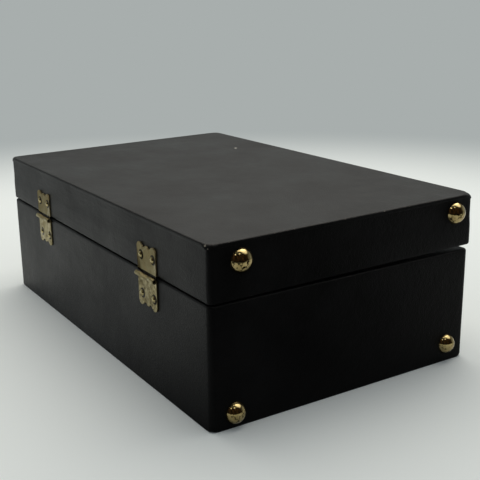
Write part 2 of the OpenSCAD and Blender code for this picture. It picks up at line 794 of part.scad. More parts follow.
// Handle: two arms on pivot pins, a rod through both, and a grip round the rod
ear_t = 3;
arm_t = 3;
ear_r = 5;
module handle_brackets() {
    color(brass) for (s = [-1, 1]) translate([case_l / 2, s * handle_span / 2, pivot_z]) difference() {
        union() {
            rotate([90, 0, 90]) linear_extrude(bracket_t) rounded_rect(bracket_l, bracket_w, 4);
            for (k = [-1, 1]) bracket_ear(k);
        }
        translate([pivot_out, -10, 0]) rotate([-90, 0, 0]) cylinder(h = 20, r = pivot_r + seat_fit);
        for (k = [-1, 1]) translate([-1, k * bracket_screw_x, 0]) rotate([0, 90, 0])
            cylinder(h = 6, r = screw_r + seat_fit);
    }
    module bracket_ear(k) {
        y0 = k > 0 ? arm_t / 2 + side_fit : -arm_t / 2 - side_fit - ear_t / 2;
        translate([bracket_t - eps, y0, -ear_r]) cube([pivot_out - bracket_t, ear_t / 2, 2 * ear_r]);
        translate([pivot_out, y0, 0]) rotate([-90, 0, 0]) cylinder(h = ear_t / 2, r = ear_r);
    }
}
module handle_pivot_pins() {
    len = arm_t + 2 * side_fit + ear_t;
    color(brass) for (s = [-1, 1]) translate([case_l / 2 + pivot_out, s * handle_span / 2 - len / 2, pivot_z])
        rotate([-90, 0, 0]) cylinder(h = len, r = pivot_r);
}
module bracket_screws() { color(brass) bracket_screw_set(0); }

// The handle hangs down against the end of the case
rod_r = 1.8;
module handle_frame() { translate([case_l / 2 + pivot_out, 0, pivot_z]) children(); }
module handle_arms() {
    color(brass) handle_frame() for (s = [-1, 1]) translate([0, s * handle_span / 2 - arm_t / 2, 0])
        difference() {
        union() {
            rotate([-90, 0, 0]) cylinder(h = arm_t, r = ear_r);
            translate([-ear_r * 0.8, 0, -handle_reach]) cube([ear_r * 1.6, arm_t, handle_reach]);
            translate([0, 0, -handle_reach]) rotate([-90, 0, 0]) cylinder(h = arm_t, r = grip_r - 1.5);
        }
        translate([0, -1, 0]) rotate([-90, 0, 0]) cylinder(h = arm_t + 2, r = pivot_r + turn_fit);
        translate([0, -1, -handle_reach]) rotate([-90, 0, 0]) cylinder(h = arm_t + 2, r = rod_r + seat_fit);
    }
}
module handle_grip() {
    len = handle_span - arm_t;
    bulge = (len * len / 4 + 4) / 4;
    color(black) handle_frame() translate([0, -len / 2, -handle_reach]) rotate([-90, 0, 0]) difference() {
        rotate_extrude() intersection() {
            square([grip_r, len]);
            translate([grip_r - bulge, len / 2]) circle(bulge, $fn = 360);
        }
        translate([0, 0, -1]) cylinder(h = len + 2, r = rod_r + seat_fit);
    }
}
module handle_rod() {
    len = handle_span + arm_t;
    color(brass) handle_frame() translate([0, -len / 2, -handle_reach]) rotate([-90, 0, 0]) union() {
        cylinder(h = len, r = rod_r);
        translate([0, 0, len]) dome(3, 1.2);
        mirror([0, 0, 1]) dome(3, 1.2);
    }
}

// Lid: the same boards and covering as the base, upside down
module lid_board(x, y, l, w) {
    color(ply) on_lid() difference() {
        translate([0, lid_y, lid_z + cover_t]) linear_extrude(lid_h - 2 * cover_t - panel_t) intersection() {
            board_ring(lid_core_l, lid_core_w, lid_core_r, lid_in_l, lid_in_w);
            translate([x, y]) square([l, w], center = true);
        }
        lid_holes();
    }
}
module lid_top_panel() {
    color(ply) on_lid() translate([0, lid_y, 0])
        slab(lid_core_l, lid_core_w, lid_core_r, lid_top - cover_t - panel_t, lid_top - cover_t);
}
module lid_hinge_board() {
    lid_board(0, (lid_in_w + lid_w) / 4 + lid_w / 8, lid_l, lid_w / 4 + (lid_w - lid_in_w) / 2);
}
module lid_latch_board() {
    lid_board(0, -(lid_in_w + lid_w) / 4 - lid_w / 8, lid_l, lid_w / 4 + (lid_w - lid_in_w) / 2);
}
module lid_feet_board() { lid_board(-lid_l / 2, 0, lid_l / 2, lid_in_w); }
module lid_handle_board() { lid_board(lid_l / 2, 0, lid_l / 2, lid_in_w); }

module lid_side_covering() {
    color(black) on_lid() difference() {
        translate([0, lid_y, 0]) difference() {
            union() {
                slab(lid_l, lid_w, corner_r, lid_z, lid_z + band_h);
                slab(lid_l - 2 * band_t, lid_w - 2 * band_t, corner_r - band_t, lid_z + rim_r,
                    lid_top - cover_t);
            }
            difference() {
                slab(lid_core_l, lid_core_w, lid_core_r, lid_z + cover_t, lid_top);
                block(lid_in_l, lid_in_w, lid_z, lid_z + turn_in);
            }
            block(lid_in_l - 2 * lining_t, lid_in_w - 2 * lining_t, lid_z - 1, lid_top);
            edge_round_below(lid_l, lid_w, corner_r, lid_z, rim_r);
            edge_round(lid_l, lid_w, corner_r, lid_z + band_h, band_t * 0.9);
        }
        lid_holes();
    }
}
module lid_top_covering() {
    color(black) on_lid() translate([0, lid_y, 0]) difference() {
        slab(lid_l, lid_w, corner_r, lid_top - lap_h, lid_top);
        slab(lid_l - 2 * band_t, lid_w - 2 * band_t, corner_r - band_t, lid_top - lap_h - 1,
            lid_top - cover_t);
        edge_round(lid_l, lid_w, corner_r, lid_top, fold_r);
        edge_round_below(lid_l, lid_w, corner_r, lid_top - lap_h, band_t * 0.7);
        translate([0, -lid_y, 0]) lid_foot_set(foot_fit);
    }
}
module lid_lining() {
    color(felt) on_lid() translate([0, lid_y, 0]) difference() {
        block(lid_in_l, lid_in_w, lid_z + turn_in, lid_roof + lining_t);
        block(lid_in_l - 2 * lining_t, lid_in_w - 2 * lining_t, lid_z, lid_roof);
    }
}

// Tools: each lies under the lid's tool panel in elastic loops
tool_panel_l = 330;
tool_panel_w = 196;
tool_z = lid_roof - tool_panel_t;
module tool_panel() {
    color(felt) on_lid() translate([0, lid_y, 0]) slab(tool_panel_l, tool_panel_w, 10, tool_z, lid_roof);
}

// An elastic loop is stitched down on both sides of the tool that it holds
stitch_w = 6;
module loop_at(x, y, w, h) {
    translate([x - elastic_w / 2, y, tool_z]) difference() {
        union() {
            translate([0, -w / 2 - elastic_t, -h - elastic_t])
                cube([elastic_w, w + 2 * elastic_t, h + elastic_t]);
            translate([0, -w / 2 - stitch_w, -elastic_t]) cube([elastic_w, w + 2 * stitch_w, elastic_t]);
        }
        translate([-1, -w / 2, -h]) cube([elastic_w + 2, w, h + 1]);
    }
}
module tool_loops() {
    color(black) on_lid() {
        for (x = spoon_loop_xs) loop_at(x, spoon_y, 2 * (stem_r + lie_gap), 2 * (stem_r + lie_gap));
        for (x = opener_loop_xs) loop_at(x, opener_y, opener_w + 2 * lie_gap, opener_t + 2 * lie_gap);
        loop_at(cork_x + cork_shank_l * 0.56, cork_y, 2 * (cork_shank_r + lie_gap),
            cork_r + cork_shank_r + 2 * lie_gap);
        for (x = strainer_loop_xs)
            loop_at(x, strainer_y, strainer_arm_w + 2 * lie_gap, strainer_t + 2 * lie_gap);
    }
}

spoon_y = 74;
spoon_loop_xs = [-50, 70];
stem_r = 2;
bowl_r = 14;
twist_l = 90;
module bar_spoon() {
    ball = 20;
    dip = 6;
    color(steel) on_lid() translate([-spoon_l / 2, spoon_y, tool_z - lie_gap - stem_r]) {
        translate([bowl_r, 0, 0]) difference() {
            intersection() {
                translate([0, 0, ball - dip]) sphere(ball);
                translate([0, 0, -dip]) cylinder(h = dip + 0.5, r = bowl_r);
            }
            translate([0, 0, ball - dip + 0.9]) sphere(ball);
        }
        for (x = [2 * bowl_r - 2, spoon_l / 2 + twist_l / 2]) translate([x, 0, 0]) rotate([0, 90, 0])
            cylinder(h = spoon_l / 2 - twist_l / 2 - (x < spoon_l / 2 ? 2 * bowl_r - 2 : 6),
                r = stem_r * 0.8);
        translate([spoon_l / 2 - twist_l / 2, 0, 0]) rotate([0, 90, 0])
            linear_extrude(twist_l, twist = 900, slices = 60, $fn = 4) square(stem_r * 1.25, center = true);
        translate([spoon_l - 7, 0, 0]) intersection() {
            sphere(5);
            translate([-6, -6, -stem_r]) cube([12, 12, 2 * stem_r]);
        }
    }
}

opener_y = 38;
opener_x = -70;
opener_w = 14;
opener_t = 2.4;
opener_loop_xs = [opener_x - 34, opener_x + 8];
module bottle_opener() {
    head_r = 17;
    color(steel) on_lid() translate([opener_x, opener_y, tool_z - lie_gap - opener_t])
        linear_extrude(opener_t) difference() {
        union() {
            translate([-opener_l / 2 + opener_w / 2, -opener_w / 2])
                square([opener_l - head_r - opener_w / 2, opener_w]);
            translate([opener_l / 2 - head_r, 0]) circle(head_r);
            translate([-opener_l / 2 + opener_w / 2, 0]) circle(opener_w / 2);
        }
        translate([opener_l / 2 - head_r + 2, 0]) difference() {
            circle(10.5);
            translate([-10.5, -3.5]) square([5, 7]);
        }
        translate([-opener_l / 2 + opener_w / 2, 0]) circle(3);
    }
}

// The worm is a round wire wound into an open coil, drawn to a point
cork_y = -4;
cork_x = 66;
cork_r = 7;
cork_w = 72;
cork_shank_r = 2.4;
cork_shank_l = 32;
worm_r = 3.4;
worm_wire_r = 1.3;
worm_pitch = 9;
worm_rings = 12;
worm_sides = 6;
worm_pace = worm_pitch / (2 * PI);
worm_slope = sqrt(worm_r * worm_r + worm_pace * worm_pace);
function worm_thick(t) = worm_wire_r * (t > 0.8 ? 1 - (t - 0.8) * 4.6 : 1);
function worm_ring(i, n) = let (
    t = i / n,
    a = 360 * worm_l * t / worm_pitch,
    out = [0, cos(a), sin(a)],
    across = [-worm_r, -worm_pace * sin(a), worm_pace * cos(a)] / worm_slope,
    at = [worm_l * t, worm_r * cos(a), worm_r * sin(a)]
) [for (k = [0:worm_sides - 1]) let (b = 360 * k / worm_sides) at
    + worm_thick(t) * (cos(b) * out + sin(b) * across)];
module worm() {
    n = round(worm_l / worm_pitch * worm_rings);
    rings = [for (i = [0:n]) each worm_ring(i, n)];
    polyhedron(points = rings, faces = concat(
        [[for (k = [0:worm_sides - 1]) k]],
        [[for (k = [worm_sides - 1:-1:0]) n * worm_sides + k]],
        [for (i = [0:n - 1], k = [0:worm_sides - 1])
            let (a = i * worm_sides + k, b = i * worm_sides + (k + 1) % worm_sides)
            each [[a, a + worm_sides, b + worm_sides], [a, b + worm_sides, b]]]
    ));
}
module cork_frame() {
    on_lid() translate([cork_x, cork_y, tool_z - lie_gap - cork_r]) children();
}
module corkscrew_worm() {
    color(steel) cork_frame() union() {
        translate([-cork_r - 1.2, 0, 0]) rotate([0, 90, 0])
            cylinder(h = cork_r + 1.2 + cork_shank_l, r = cork_shank_r);
        translate([-cork_r - 1.2, 0, 0]) rotate([0, 90, 0]) cylinder(h = 1.2, r = cork_shank_r + 1.2);
        translate([cork_shank_l - 2, 0, 0]) rotate([0, 90, 0])
            cylinder(h = 2, r = worm_r + worm_wire_r + 0.3);
        translate([cork_shank_l - 1, 0, 0]) worm();
    }
}
module corkscrew_handle() {
    swell = cork_w * cork_w / 24 + 1.5;
    color(ply) cork_frame() difference() {
        rotate([90, 0, 0]) translate([0, 0, -cork_w / 2]) rotate_extrude() intersection() {
            square([cork_r, cork_w]);
            translate([cork_r - swell, cork_w / 2]) circle(swell, $fn = 240);
        }
        translate([-cork_r - 2, 0, 0]) rotate([0, 90, 0])
            cylinder(h = 2 * cork_r + 4, r = cork_shank_r + seat_fit);
        translate([-cork_r - 2, 0, 0]) rotate([0, 90, 0]) cylinder(h = 2, r = cork_shank_r + 1.2 + side_fit);
    }
}

strainer_y = -56;
strainer_x = -76;
strainer_t = 1.2;
strainer_arm_w = 15;
strainer_arm_l = 76;
strainer_loop_xs = [strainer_x + strainer_d / 2 + 26, strainer_x + strainer_d / 2 + 58];
module strainer() {
    rim = strainer_d / 2;
    color(steel) on_lid() translate([strainer_x, strainer_y, tool_z - lie_gap - strainer_t]) difference() {
        linear_extrude(strainer_t) union() {
            circle(rim);
            translate([0, -strainer_arm_w / 2])
                square([rim + strainer_arm_l - strainer_arm_w / 2, strainer_arm_w]);
            translate([rim + strainer_arm_l - strainer_arm_w / 2, 0]) circle(strainer_arm_w / 2);
            for (s = [-1, 1]) rotate([0, 0, s * 62]) translate([rim + 1, 0]) circle(5);
        }
        translate([rim + strainer_arm_l - strainer_arm_w / 2, 0, -1]) cylinder(h = 4, r = 3);
        for (k = [1:3]) for (a = [0:360 / (6 * k):359])
            rotate([0, 0, a]) translate([k * rim / 4.4, 0, -1]) cylinder(h = 4, r = 1.6);
    }
}

base_back_panel();
base_hinge_board();
base_latch_board();
base_feet_board();
base_handle_board();
base_side_covering();
base_back_covering();
base_lining();
divider_hinge_side();
divider_latch_side();
column_shelves();
strap_hinge_half();
strap_latch_half();
strap_snap_cap();
strap_snap_stud();
column_bands();
strap_rivets();
shaker_body();
shaker_top();
shaker_cap();
tumbler_1();
tumbler_2();
tumbler_3();
tumbler_4();
jigger();
base_feet();
base_hinge_leaves();
hinge_pins();
base_nails();
lock_plates();
lower_lock_bolt();
upper_lock_bolt();
handle_brackets();
handle_pivot_pins();
bracket_screws();
handle_arms();
handle_grip();
handle_rod();
lid_top_panel();
lid_hinge_board();
lid_latch_board();
lid_feet_board();
lid_handle_board();
lid_side_covering();
lid_top_covering();
lid_lining();
tool_panel();
tool_loops();
bar_spoon();
corkscrew_worm();
corkscrew_handle();
bottle_opener();
strainer();
lid_feet();
lid_hinge_leaves();
lid_nails();
hasp_plates();
hasp_pins();
lower_hasp();
upper_hasp();
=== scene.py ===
import json
from math import cos, pi, radians, sin

import bmesh
import bpy
from mathutils import Matrix, Vector, noise


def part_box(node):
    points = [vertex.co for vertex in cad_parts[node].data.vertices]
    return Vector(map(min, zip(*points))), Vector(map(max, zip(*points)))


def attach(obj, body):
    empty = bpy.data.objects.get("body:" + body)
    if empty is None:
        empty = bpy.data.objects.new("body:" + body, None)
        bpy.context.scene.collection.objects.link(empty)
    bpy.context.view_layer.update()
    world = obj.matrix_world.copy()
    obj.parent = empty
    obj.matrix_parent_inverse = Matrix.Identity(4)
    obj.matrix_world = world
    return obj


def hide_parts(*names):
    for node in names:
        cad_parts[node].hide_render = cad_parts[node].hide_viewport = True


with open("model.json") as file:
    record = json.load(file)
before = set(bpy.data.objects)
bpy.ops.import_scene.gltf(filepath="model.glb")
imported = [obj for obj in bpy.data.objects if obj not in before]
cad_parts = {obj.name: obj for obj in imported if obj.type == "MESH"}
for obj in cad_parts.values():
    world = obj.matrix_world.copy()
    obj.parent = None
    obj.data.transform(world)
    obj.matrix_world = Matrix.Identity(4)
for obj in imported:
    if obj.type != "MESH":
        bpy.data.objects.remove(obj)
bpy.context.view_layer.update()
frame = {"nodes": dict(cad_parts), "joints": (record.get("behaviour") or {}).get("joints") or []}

mm = 0.001

# Camera
# It stands where the photograph was taken from: low, off the near corner, with a slightly long lens.
# The viewpoint comes from the case's straight edges, so the frame's own sizes give the same outline.
view_from = Vector((-0.6342, 0.3756, 0.2813))
view_back = Vector((-0.8119, 0.5157, 0.2738)).normalized()
view_roll = radians(-0.6574)
view_right = Vector((0, 0, 1)).cross(view_back).normalized()
view_turn = Matrix((view_right, view_back.cross(view_right), view_back)).transposed().to_4x4()
camera_data = bpy.data.cameras.new("camera")
camera_data.sensor_width = 36
camera_data.lens = 63.98
camera = bpy.data.objects.new("camera", camera_data)
camera.matrix_world = Matrix.Translation(view_from) @ view_turn @ Matrix.Rotation(view_roll, 4, "Z")
bpy.context.scene.collection.objects.link(camera)
bpy.context.scene.camera = camera
bpy.context.scene.view_settings.view_transform = "Standard"


# Floor, room and lamps
# A pale sheet of board that runs back into a pale grey wall, under one big soft lamp above and behind.
# The room in front of the feet end is unlit and full of dim things, with a window high up on one side, and two small
# lamps. The case shows all that only in its gloss, and its reflections also find painted shade on the board before the
# feet end, so its feet end stays almost black in the photograph.
def linear(code):
    """An sRGB hex colour as linear red, green, blue and alpha."""
    parts = [int(code[k:k + 2], 16) / 255 for k in (1, 3, 5)]
    return tuple(p / 12.92 if p <= 0.04045 else ((p + 0.055) / 1.055) ** 2.4 for p in parts) + (1,)


def add(tree, kind, inputs=None, **settings):
    """Adds a node with its settings, its input values and its links."""
    made = tree.nodes.new(kind)
    for key, value in settings.items():
        setattr(made, key, value)
    for key, value in (inputs or {}).items():
        if isinstance(value, bpy.types.NodeSocket):
            tree.links.new(value, made.inputs[key])
        else:
            made.inputs[key].default_value = value
    return made


wall_grey = linear("#A8AEAD")
wall_high = linear("#6E6F6A")
room_dark = linear("#1C1A18")
dim_things = linear("#4C3A2C")
unlit_way = (-0.91, 0.42, 0.0)
# Middle of the painted shadow that broad gloss sees on the board before the feet end
painted_shadow_middle = (-0.45, 0.05, 0.0)
window_way = (-0.13, -0.50, 0.86)
lamp_ways = [(-0.45, 0.19, 0.87), (-0.17, 0.62, 0.77)]


def smooth_share(tree, value, nought, one):
    """Runs softly from nought to one while the value goes from the one number to the other."""
    return add(tree, "ShaderNodeMapRange", {"Value": value, "From Min": nought, "From Max": one},
               interpolation_type="SMOOTHSTEP").outputs[0]


def both(tree, one, other):
    return add(tree, "ShaderNodeMath", {0: one, 1: other}, operation="MULTIPLY").outputs[0]


def seen_rays(tree):
    """One for what the camera, a reflection or a glass shows, nought for what lights the scene."""
    path = add(tree, "ShaderNodeLightPath").outputs
    seen = add(tree, "ShaderNodeMath", {0: path["Is Camera Ray"], 1: path["Is Glossy Ray"]}, operation="ADD")
    seen = add(tree, "ShaderNodeMath", {0: seen.outputs[0], 1: path["Is Transmission Ray"]}, operation="ADD")
    return add(tree, "ShaderNodeClamp", {"Value": seen.outputs[0]}).outputs[0], path


def bright_spot(tree, way, towards, outer, inner):
    """A soft round patch of the room: one within the inner angle of that direction, nought past the outer one."""
    near = add(tree, "ShaderNodeVectorMath", {0: way, 1: Vector(towards).normalized()}, operation="DOT_PRODUCT")
    return smooth_share(tree, near.outputs["Value"], cos(radians(outer)), cos(radians(inner)))


room = bpy.data.worlds.new("room")
room.use_nodes = True
bpy.context.scene.world = room
room_tree = room.node_tree
room_tree.nodes.clear()
room_way = add(room_tree, "ShaderNodeTexCoord").outputs["Generated"]
room_up = add(room_tree, "ShaderNodeSeparateXYZ", {"Vector": room_way}).outputs["Z"]
room_unlit = add(room_tree, "ShaderNodeVectorMath", {0: room_way, 1: unlit_way}, operation="DOT_PRODUCT").outputs["Value"]
room_unlit = both(room_tree, smooth_share(room_tree, room_unlit, -0.2, 0.42), smooth_share(room_tree, room_up, 0.93, 0.78))
room_seen, room_path = seen_rays(room_tree)
room_unlit = both(room_tree, room_unlit, room_path["Is Glossy Ray"])
things = add(room_tree, "ShaderNodeTexNoise", {"Vector": room_way, "Scale": 6.0, "Detail": 2.0}).outputs["Fac"]
things = add(room_tree, "ShaderNodeMix", {"Factor": smooth_share(room_tree, things, 0.46, 0.62), "A": room_dark,
                                          "B": dim_things}, data_type="RGBA").outputs["Result"]
walls = add(room_tree, "ShaderNodeMix", {"Factor": smooth_share(room_tree, room_up, 0.22, 0.52), "A": wall_grey,
                                         "B": wall_high}, data_type="RGBA").outputs["Result"]
room_colour = add(room_tree, "ShaderNodeMix", {"Factor": room_unlit, "A": walls, "B": things}, data_type="RGBA")
lit = bright_spot(room_tree, room_way, window_way, 30, 12)
for lamp_way in lamp_ways:
    lit = add(room_tree, "ShaderNodeMath", {0: lit, 1: bright_spot(room_tree, room_way, lamp_way, 6, 3)},
              operation="MAXIMUM").outputs[0]
lit = both(room_tree, lit, room_path["Is Glossy Ray"])
room_colour = add(room_tree, "ShaderNodeMix", {"Factor": lit, "A": room_colour.outputs["Result"],
                                               "B": linear("#FFFDF8")}, data_type="RGBA")
room_power = add(room_tree, "ShaderNodeMapRange", {"Value": lit, "To Min": 1.0, "To Max": 2.6}).outputs[0]
room_view = add(room_tree, "ShaderNodeBackground", {"Color": room_colour.outputs["Result"], "Strength": room_power})
room_light = add(room_tree, "ShaderNodeBackground", {"Color": linear("#E9EEF2"), "Strength": 0.42})
room_mix = add(room_tree, "ShaderNodeMixShader", {0: room_seen, 1: room_light.outputs[0], 2: room_view.outputs[0]})
add(room_tree, "ShaderNodeOutputWorld", {"Surface": room_mix.outputs[0]})


def pale_board():
    """Matt white card. It keeps the shadow near the case, and turns into the wall's grey further off. Reflections see
    painted shade on it: a dark emission far into the unlit room, and, for the cloth's broad gloss, a painted shadow
    before the feet end as well."""
    made = bpy.data.materials.new("pale_board")
    made.use_nodes = True
    tree = made.node_tree
    tree.nodes.clear()
    place = add(tree, "ShaderNodeTexCoord").outputs["Object"]
    away = add(tree, "ShaderNodeVectorMath", {0: place}, operation="LENGTH").outputs["Value"]
    ahead = add(tree, "ShaderNodeVectorMath", {0: place, 1: unlit_way}, operation="DOT_PRODUCT").outputs["Value"]
    seen, path = seen_rays(tree)
    broad = add(tree, "ShaderNodeMath", {0: path["Is Glossy Ray"], 1: path["Is Singular Ray"]}, operation="SUBTRACT")
    far = both(tree, smooth_share(tree, away, 0.5, 1.15), seen)
    # Painted shade for reflections: where these shares are high the board shows dark emission instead of its lit card
    near = add(tree, "ShaderNodeVectorMath", {0: place, 1: painted_shadow_middle}, operation="DISTANCE").outputs["Value"]
    painted_far_shade = both(tree, smooth_share(tree, ahead, 0.45, 0.9), path["Is Glossy Ray"])
    beyond = both(tree, smooth_share(tree, away, 0.4, 0.56), smooth_share(tree, ahead, 0.05, 0.25))
    near = add(tree, "ShaderNodeMath", {0: smooth_share(tree, near, 0.55, 0.15), 1: beyond}, operation="MAXIMUM")
    near = both(tree, near.outputs[0], broad.outputs[0])
    card = add(tree, "ShaderNodeBsdfDiffuse", {"Color": linear("#EBF1F0")})
    wall = add(tree, "ShaderNodeEmission", {"Color": wall_grey})
    # Painted shade: the dark emission that reflections see on the board
    unlit = add(tree, "ShaderNodeEmission", {"Color": room_dark})
    board = add(tree, "ShaderNodeMixShader", {0: far, 1: card.outputs[0], 2: wall.outputs[0]})
    board = add(tree, "ShaderNodeMixShader", {0: painted_far_shade, 1: board.outputs[0], 2: unlit.outputs[0]})
    board = add(tree, "ShaderNodeMixShader", {0: near, 1: board.outputs[0], 2: unlit.outputs[0]})
    add(tree, "ShaderNodeOutputMaterial", {"Surface": board.outputs[0]})
    return made


floor_size = 12.0
floor_mesh = bpy.data.meshes.new("floor")
floor_mesh.from_pydata([(x * floor_size / 2, y * floor_size / 2, 0) for x, y in ((-1, -1), (1, -1), (1, 1), (-1, 1))],
                       [], [(0, 1, 2, 3)])
floor_mesh.materials.append(pale_board())
floor = bpy.data.objects.new("floor", floor_mesh)
bpy.context.scene.collection.objects.link(floor)


def soft_lamp(name, at, size, watts, colour):
    """A round lamp that looks at the case."""
    data = bpy.data.lights.new(name, "AREA")
    data.shape = "DISK"
    data.size = size
    data.energy = watts
    data.color = linear(colour)[:3]
    lamp = bpy.data.objects.new(name, data)
    lamp.matrix_world = Matrix.Translation(at) @ (-Vector(at)).to_track_quat("-Z", "Y").to_matrix().to_4x4()
    bpy.context.scene.collection.objects.link(lamp)


soft_lamp("softbox", (0.45, -0.35, 1.4), 2.14, 21, "#FFF8EE")


# Base covering
# Black leatherette, a coated cloth with a fine pebbled grain, glued round the boards by hand.
# It runs over the rim and is turned in on the inner faces, so the rim is soft and not quite straight.
def leatherette(name, specks=()):
    """Coated cloth: a satin black skin over a pebbled grain, uneven where the glue drew it down, pale where rubbed."""
    made = bpy.data.materials.new(name)
    made.use_nodes = True
    tree = made.node_tree
    tree.nodes.clear()
    place = add(tree, "ShaderNodeTexCoord").outputs["Object"]
    pebbles = add(tree, "ShaderNodeTexVoronoi", {"Vector": place, "Scale": 1 / (1.0 * mm), "Smoothness": 0.6},
                  feature="SMOOTH_F1").outputs["Distance"]
    fibre = add(tree, "ShaderNodeTexNoise", {"Vector": place, "Scale": 1 / (0.7 * mm), "Detail": 3.0}).outputs["Fac"]
    glue = add(tree, "ShaderNodeTexNoise", {"Vector": place, "Scale": 1 / (14 * mm), "Detail": 3.0}).outputs["Fac"]
    cloud = add(tree, "ShaderNodeTexNoise", {"Vector": place, "Scale": 1 / (60 * mm), "Detail": 4.0,
                                             "Roughness": 0.6}).outputs["Fac"]
    thread_way = add(tree, "ShaderNodeMapping", {"Vector": place, "Scale": (0.15, 1, 1)}).outputs[0]
    slub = add(tree, "ShaderNodeTexNoise", {"Vector": thread_way, "Scale": 1 / (3 * mm), "Detail": 3.0}).outputs["Fac"]
    grain = add(tree, "ShaderNodeMath", {0: pebbles, 1: fibre}, operation="ADD").outputs[0]
    bump = add(tree, "ShaderNodeBump", {"Height": glue, "Strength": 0.5, "Distance": 0.5 * mm}).outputs[0]
    bump = add(tree, "ShaderNodeBump", {"Height": slub, "Strength": 0.6, "Distance": 0.35 * mm, "Normal": bump}).outputs[0]
    bump = add(tree, "ShaderNodeBump", {"Height": grain, "Strength": 0.6, "Distance": 0.2 * mm, "Normal": bump})
    tone = add(tree, "ShaderNodeMapRange", {"Value": cloud, "From Min": 0.35, "From Max": 0.65}).outputs[0]
    skin = add(tree, "ShaderNodeMix", {"Factor": tone, "A": linear("#080808"), "B": linear("#0F0F10")},
               data_type="RGBA").outputs["Result"]
    rubbed = add(tree, "ShaderNodeAttribute", attribute_name="rubbed").outputs["Fac"]
    patch = add(tree, "ShaderNodeTexNoise", {"Vector": place, "Scale": 1 / (3 * mm), "Detail": 4.0}).outputs["Fac"]
    worn = add(tree, "ShaderNodeMath", {0: rubbed, 1: patch}, operation="MULTIPLY").outputs[0]
    worn = add(tree, "ShaderNodeMapRange", {"Value": worn, "From Min": 0.46, "From Max": 0.66}).outputs[0]
    skin = add(tree, "ShaderNodeMix", {"Factor": worn, "A": skin, "B": linear("#8C867A")}, data_type="RGBA")
    ragged = add(tree, "ShaderNodeTexNoise", {"Vector": place, "Scale": 1 / (0.8 * mm), "Detail": 2.0}).outputs["Fac"]
    for at, size, colour in specks:
        away = add(tree, "ShaderNodeVectorMath", {0: place, 1: at}, operation="DISTANCE").outputs["Value"]
        away = add(tree, "ShaderNodeMath", {0: ragged, 1: size * 2, 2: away}, operation="MULTIPLY_ADD").outputs[0]
        chip = add(tree, "ShaderNodeMapRange", {"Value": away, "From Min": size * 2, "From Max": size * 1.6}).outputs[0]
        skin = add(tree, "ShaderNodeMix", {"Factor": chip, "A": skin.outputs["Result"], "B": linear(colour)},
                   data_type="RGBA")
    gloss = add(tree, "ShaderNodeMapRange", {"Value": cloud, "From Min": 0.3, "From Max": 0.7, "To Min": 0.36,
                                             "To Max": 0.5}).outputs[0]
    coat = add(tree, "ShaderNodeBsdfPrincipled", {"Base Color": skin.outputs["Result"], "Roughness": gloss,
                                                  "Specular IOR Level": 0.148, "Normal": bump.outputs[0]})
    add(tree, "ShaderNodeOutputMaterial", {"Surface": coat.outputs[0]})
    return made


def show(name, points, faces, material, body, slot, place=None, sharp=40, wear=0.0, along=None):
    """Makes a closed mesh piece, smooth but for its sharp edges, which rides on a body. Wear marks the points that lie
    within that distance of its box's upper and upright edges, and along gives each point its place on the surface."""
    mesh = bpy.data.meshes.new(name)
    mesh.from_pydata([place @ p for p in points] if place else points, [], faces)
    if wear:
        low = [min(p[k] for p in points) for k in range(3)]
        high = [max(p[k] for p in points) for k in range(3)]
        marks = mesh.attributes.new("rubbed", "FLOAT", "POINT")
        for mark, p in zip(marks.data, points):
            second = sorted((min(p.x - low[0], high[0] - p.x), min(p.y - low[1], high[1] - p.y), high[2] - p.z))[1]
            mark.value = max(0.0, 1 - second / wear)
    if along:
        sheet = mesh.uv_layers.new(name="surface")
        for loop in mesh.loops:
            sheet.data[loop.index].uv = along[loop.vertex_index]
    work = bmesh.new()
    work.from_mesh(mesh)
    bmesh.ops.recalc_face_normals(work, faces=work.faces)
    work.to_mesh(mesh)
    work.free()
    mesh.materials.append(material)
    mesh.shade_smooth()
    mesh.set_sharp_from_angle(angle=radians(sharp))
    made = bpy.data.objects.new(name, mesh)
    bpy.context.scene.collection.objects.link(made)
    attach(made, body)
    return made


def arc(x, z, radius, first, last, steps=6):
    """Points (outward, up) on part of a circle, by angles in degrees."""
    turns = [radians(first + (last - first) * k / steps) for k in range(steps + 1)]
    return [(x + radius * cos(a), z + radius * sin(a)) for a in turns]


def divided(profile, pace, closed):
    """The same profile with points added, so that no step is longer than pace."""
    made = []
    ends = profile[1:] + profile[:1] if closed else profile[1:]
    for (x0, z0), (x1, z1) in zip(profile, ends):
        parts = max(1, round(((x1 - x0) ** 2 + (z1 - z0) ** 2) ** 0.5 / pace))
        made += [(x0 + (x1 - x0) * k / parts, z0 + (z1 - z0) * k / parts) for k in range(parts)]
    return made if closed else made + [profile[-1]]


def ring_round(length, width, radius, corner_steps, pace=5 * mm):
    """Walks round a rounded rectangle: each point, its way out, and its share of the corner that it is on."""
    signs = ((1, 1), (-1, 1), (-1, -1), (1, -1))
    spans = [round(length / pace), round(width / pace)]
    centres = [Vector((sx * (length / 2 - radius), sy * (width / 2 - radius), 0)) for sx, sy in signs]

    def walk(out):
        turn = max(radius + out, 0.3 * mm)
        shift = min(radius + out - turn, 0.0)
        for k, (sx, sy) in enumerate(signs):
            centre = centres[k] + Vector((sx, sy, 0)) * shift
            following = centres[(k + 1) % 4] + Vector((*signs[(k + 1) % 4], 0)) * shift
            for step in range(corner_steps + 1):
                a = pi / 2 * (k + step / corner_steps)
                way = Vector((cos(a), sin(a), 0))
                yield centre + way * turn, way, step / corner_steps
            parts = spans[k % 2]
            for p in range(1, parts):
                yield centre.lerp(following, p / parts) + way * turn, way, 0.0
    return walk


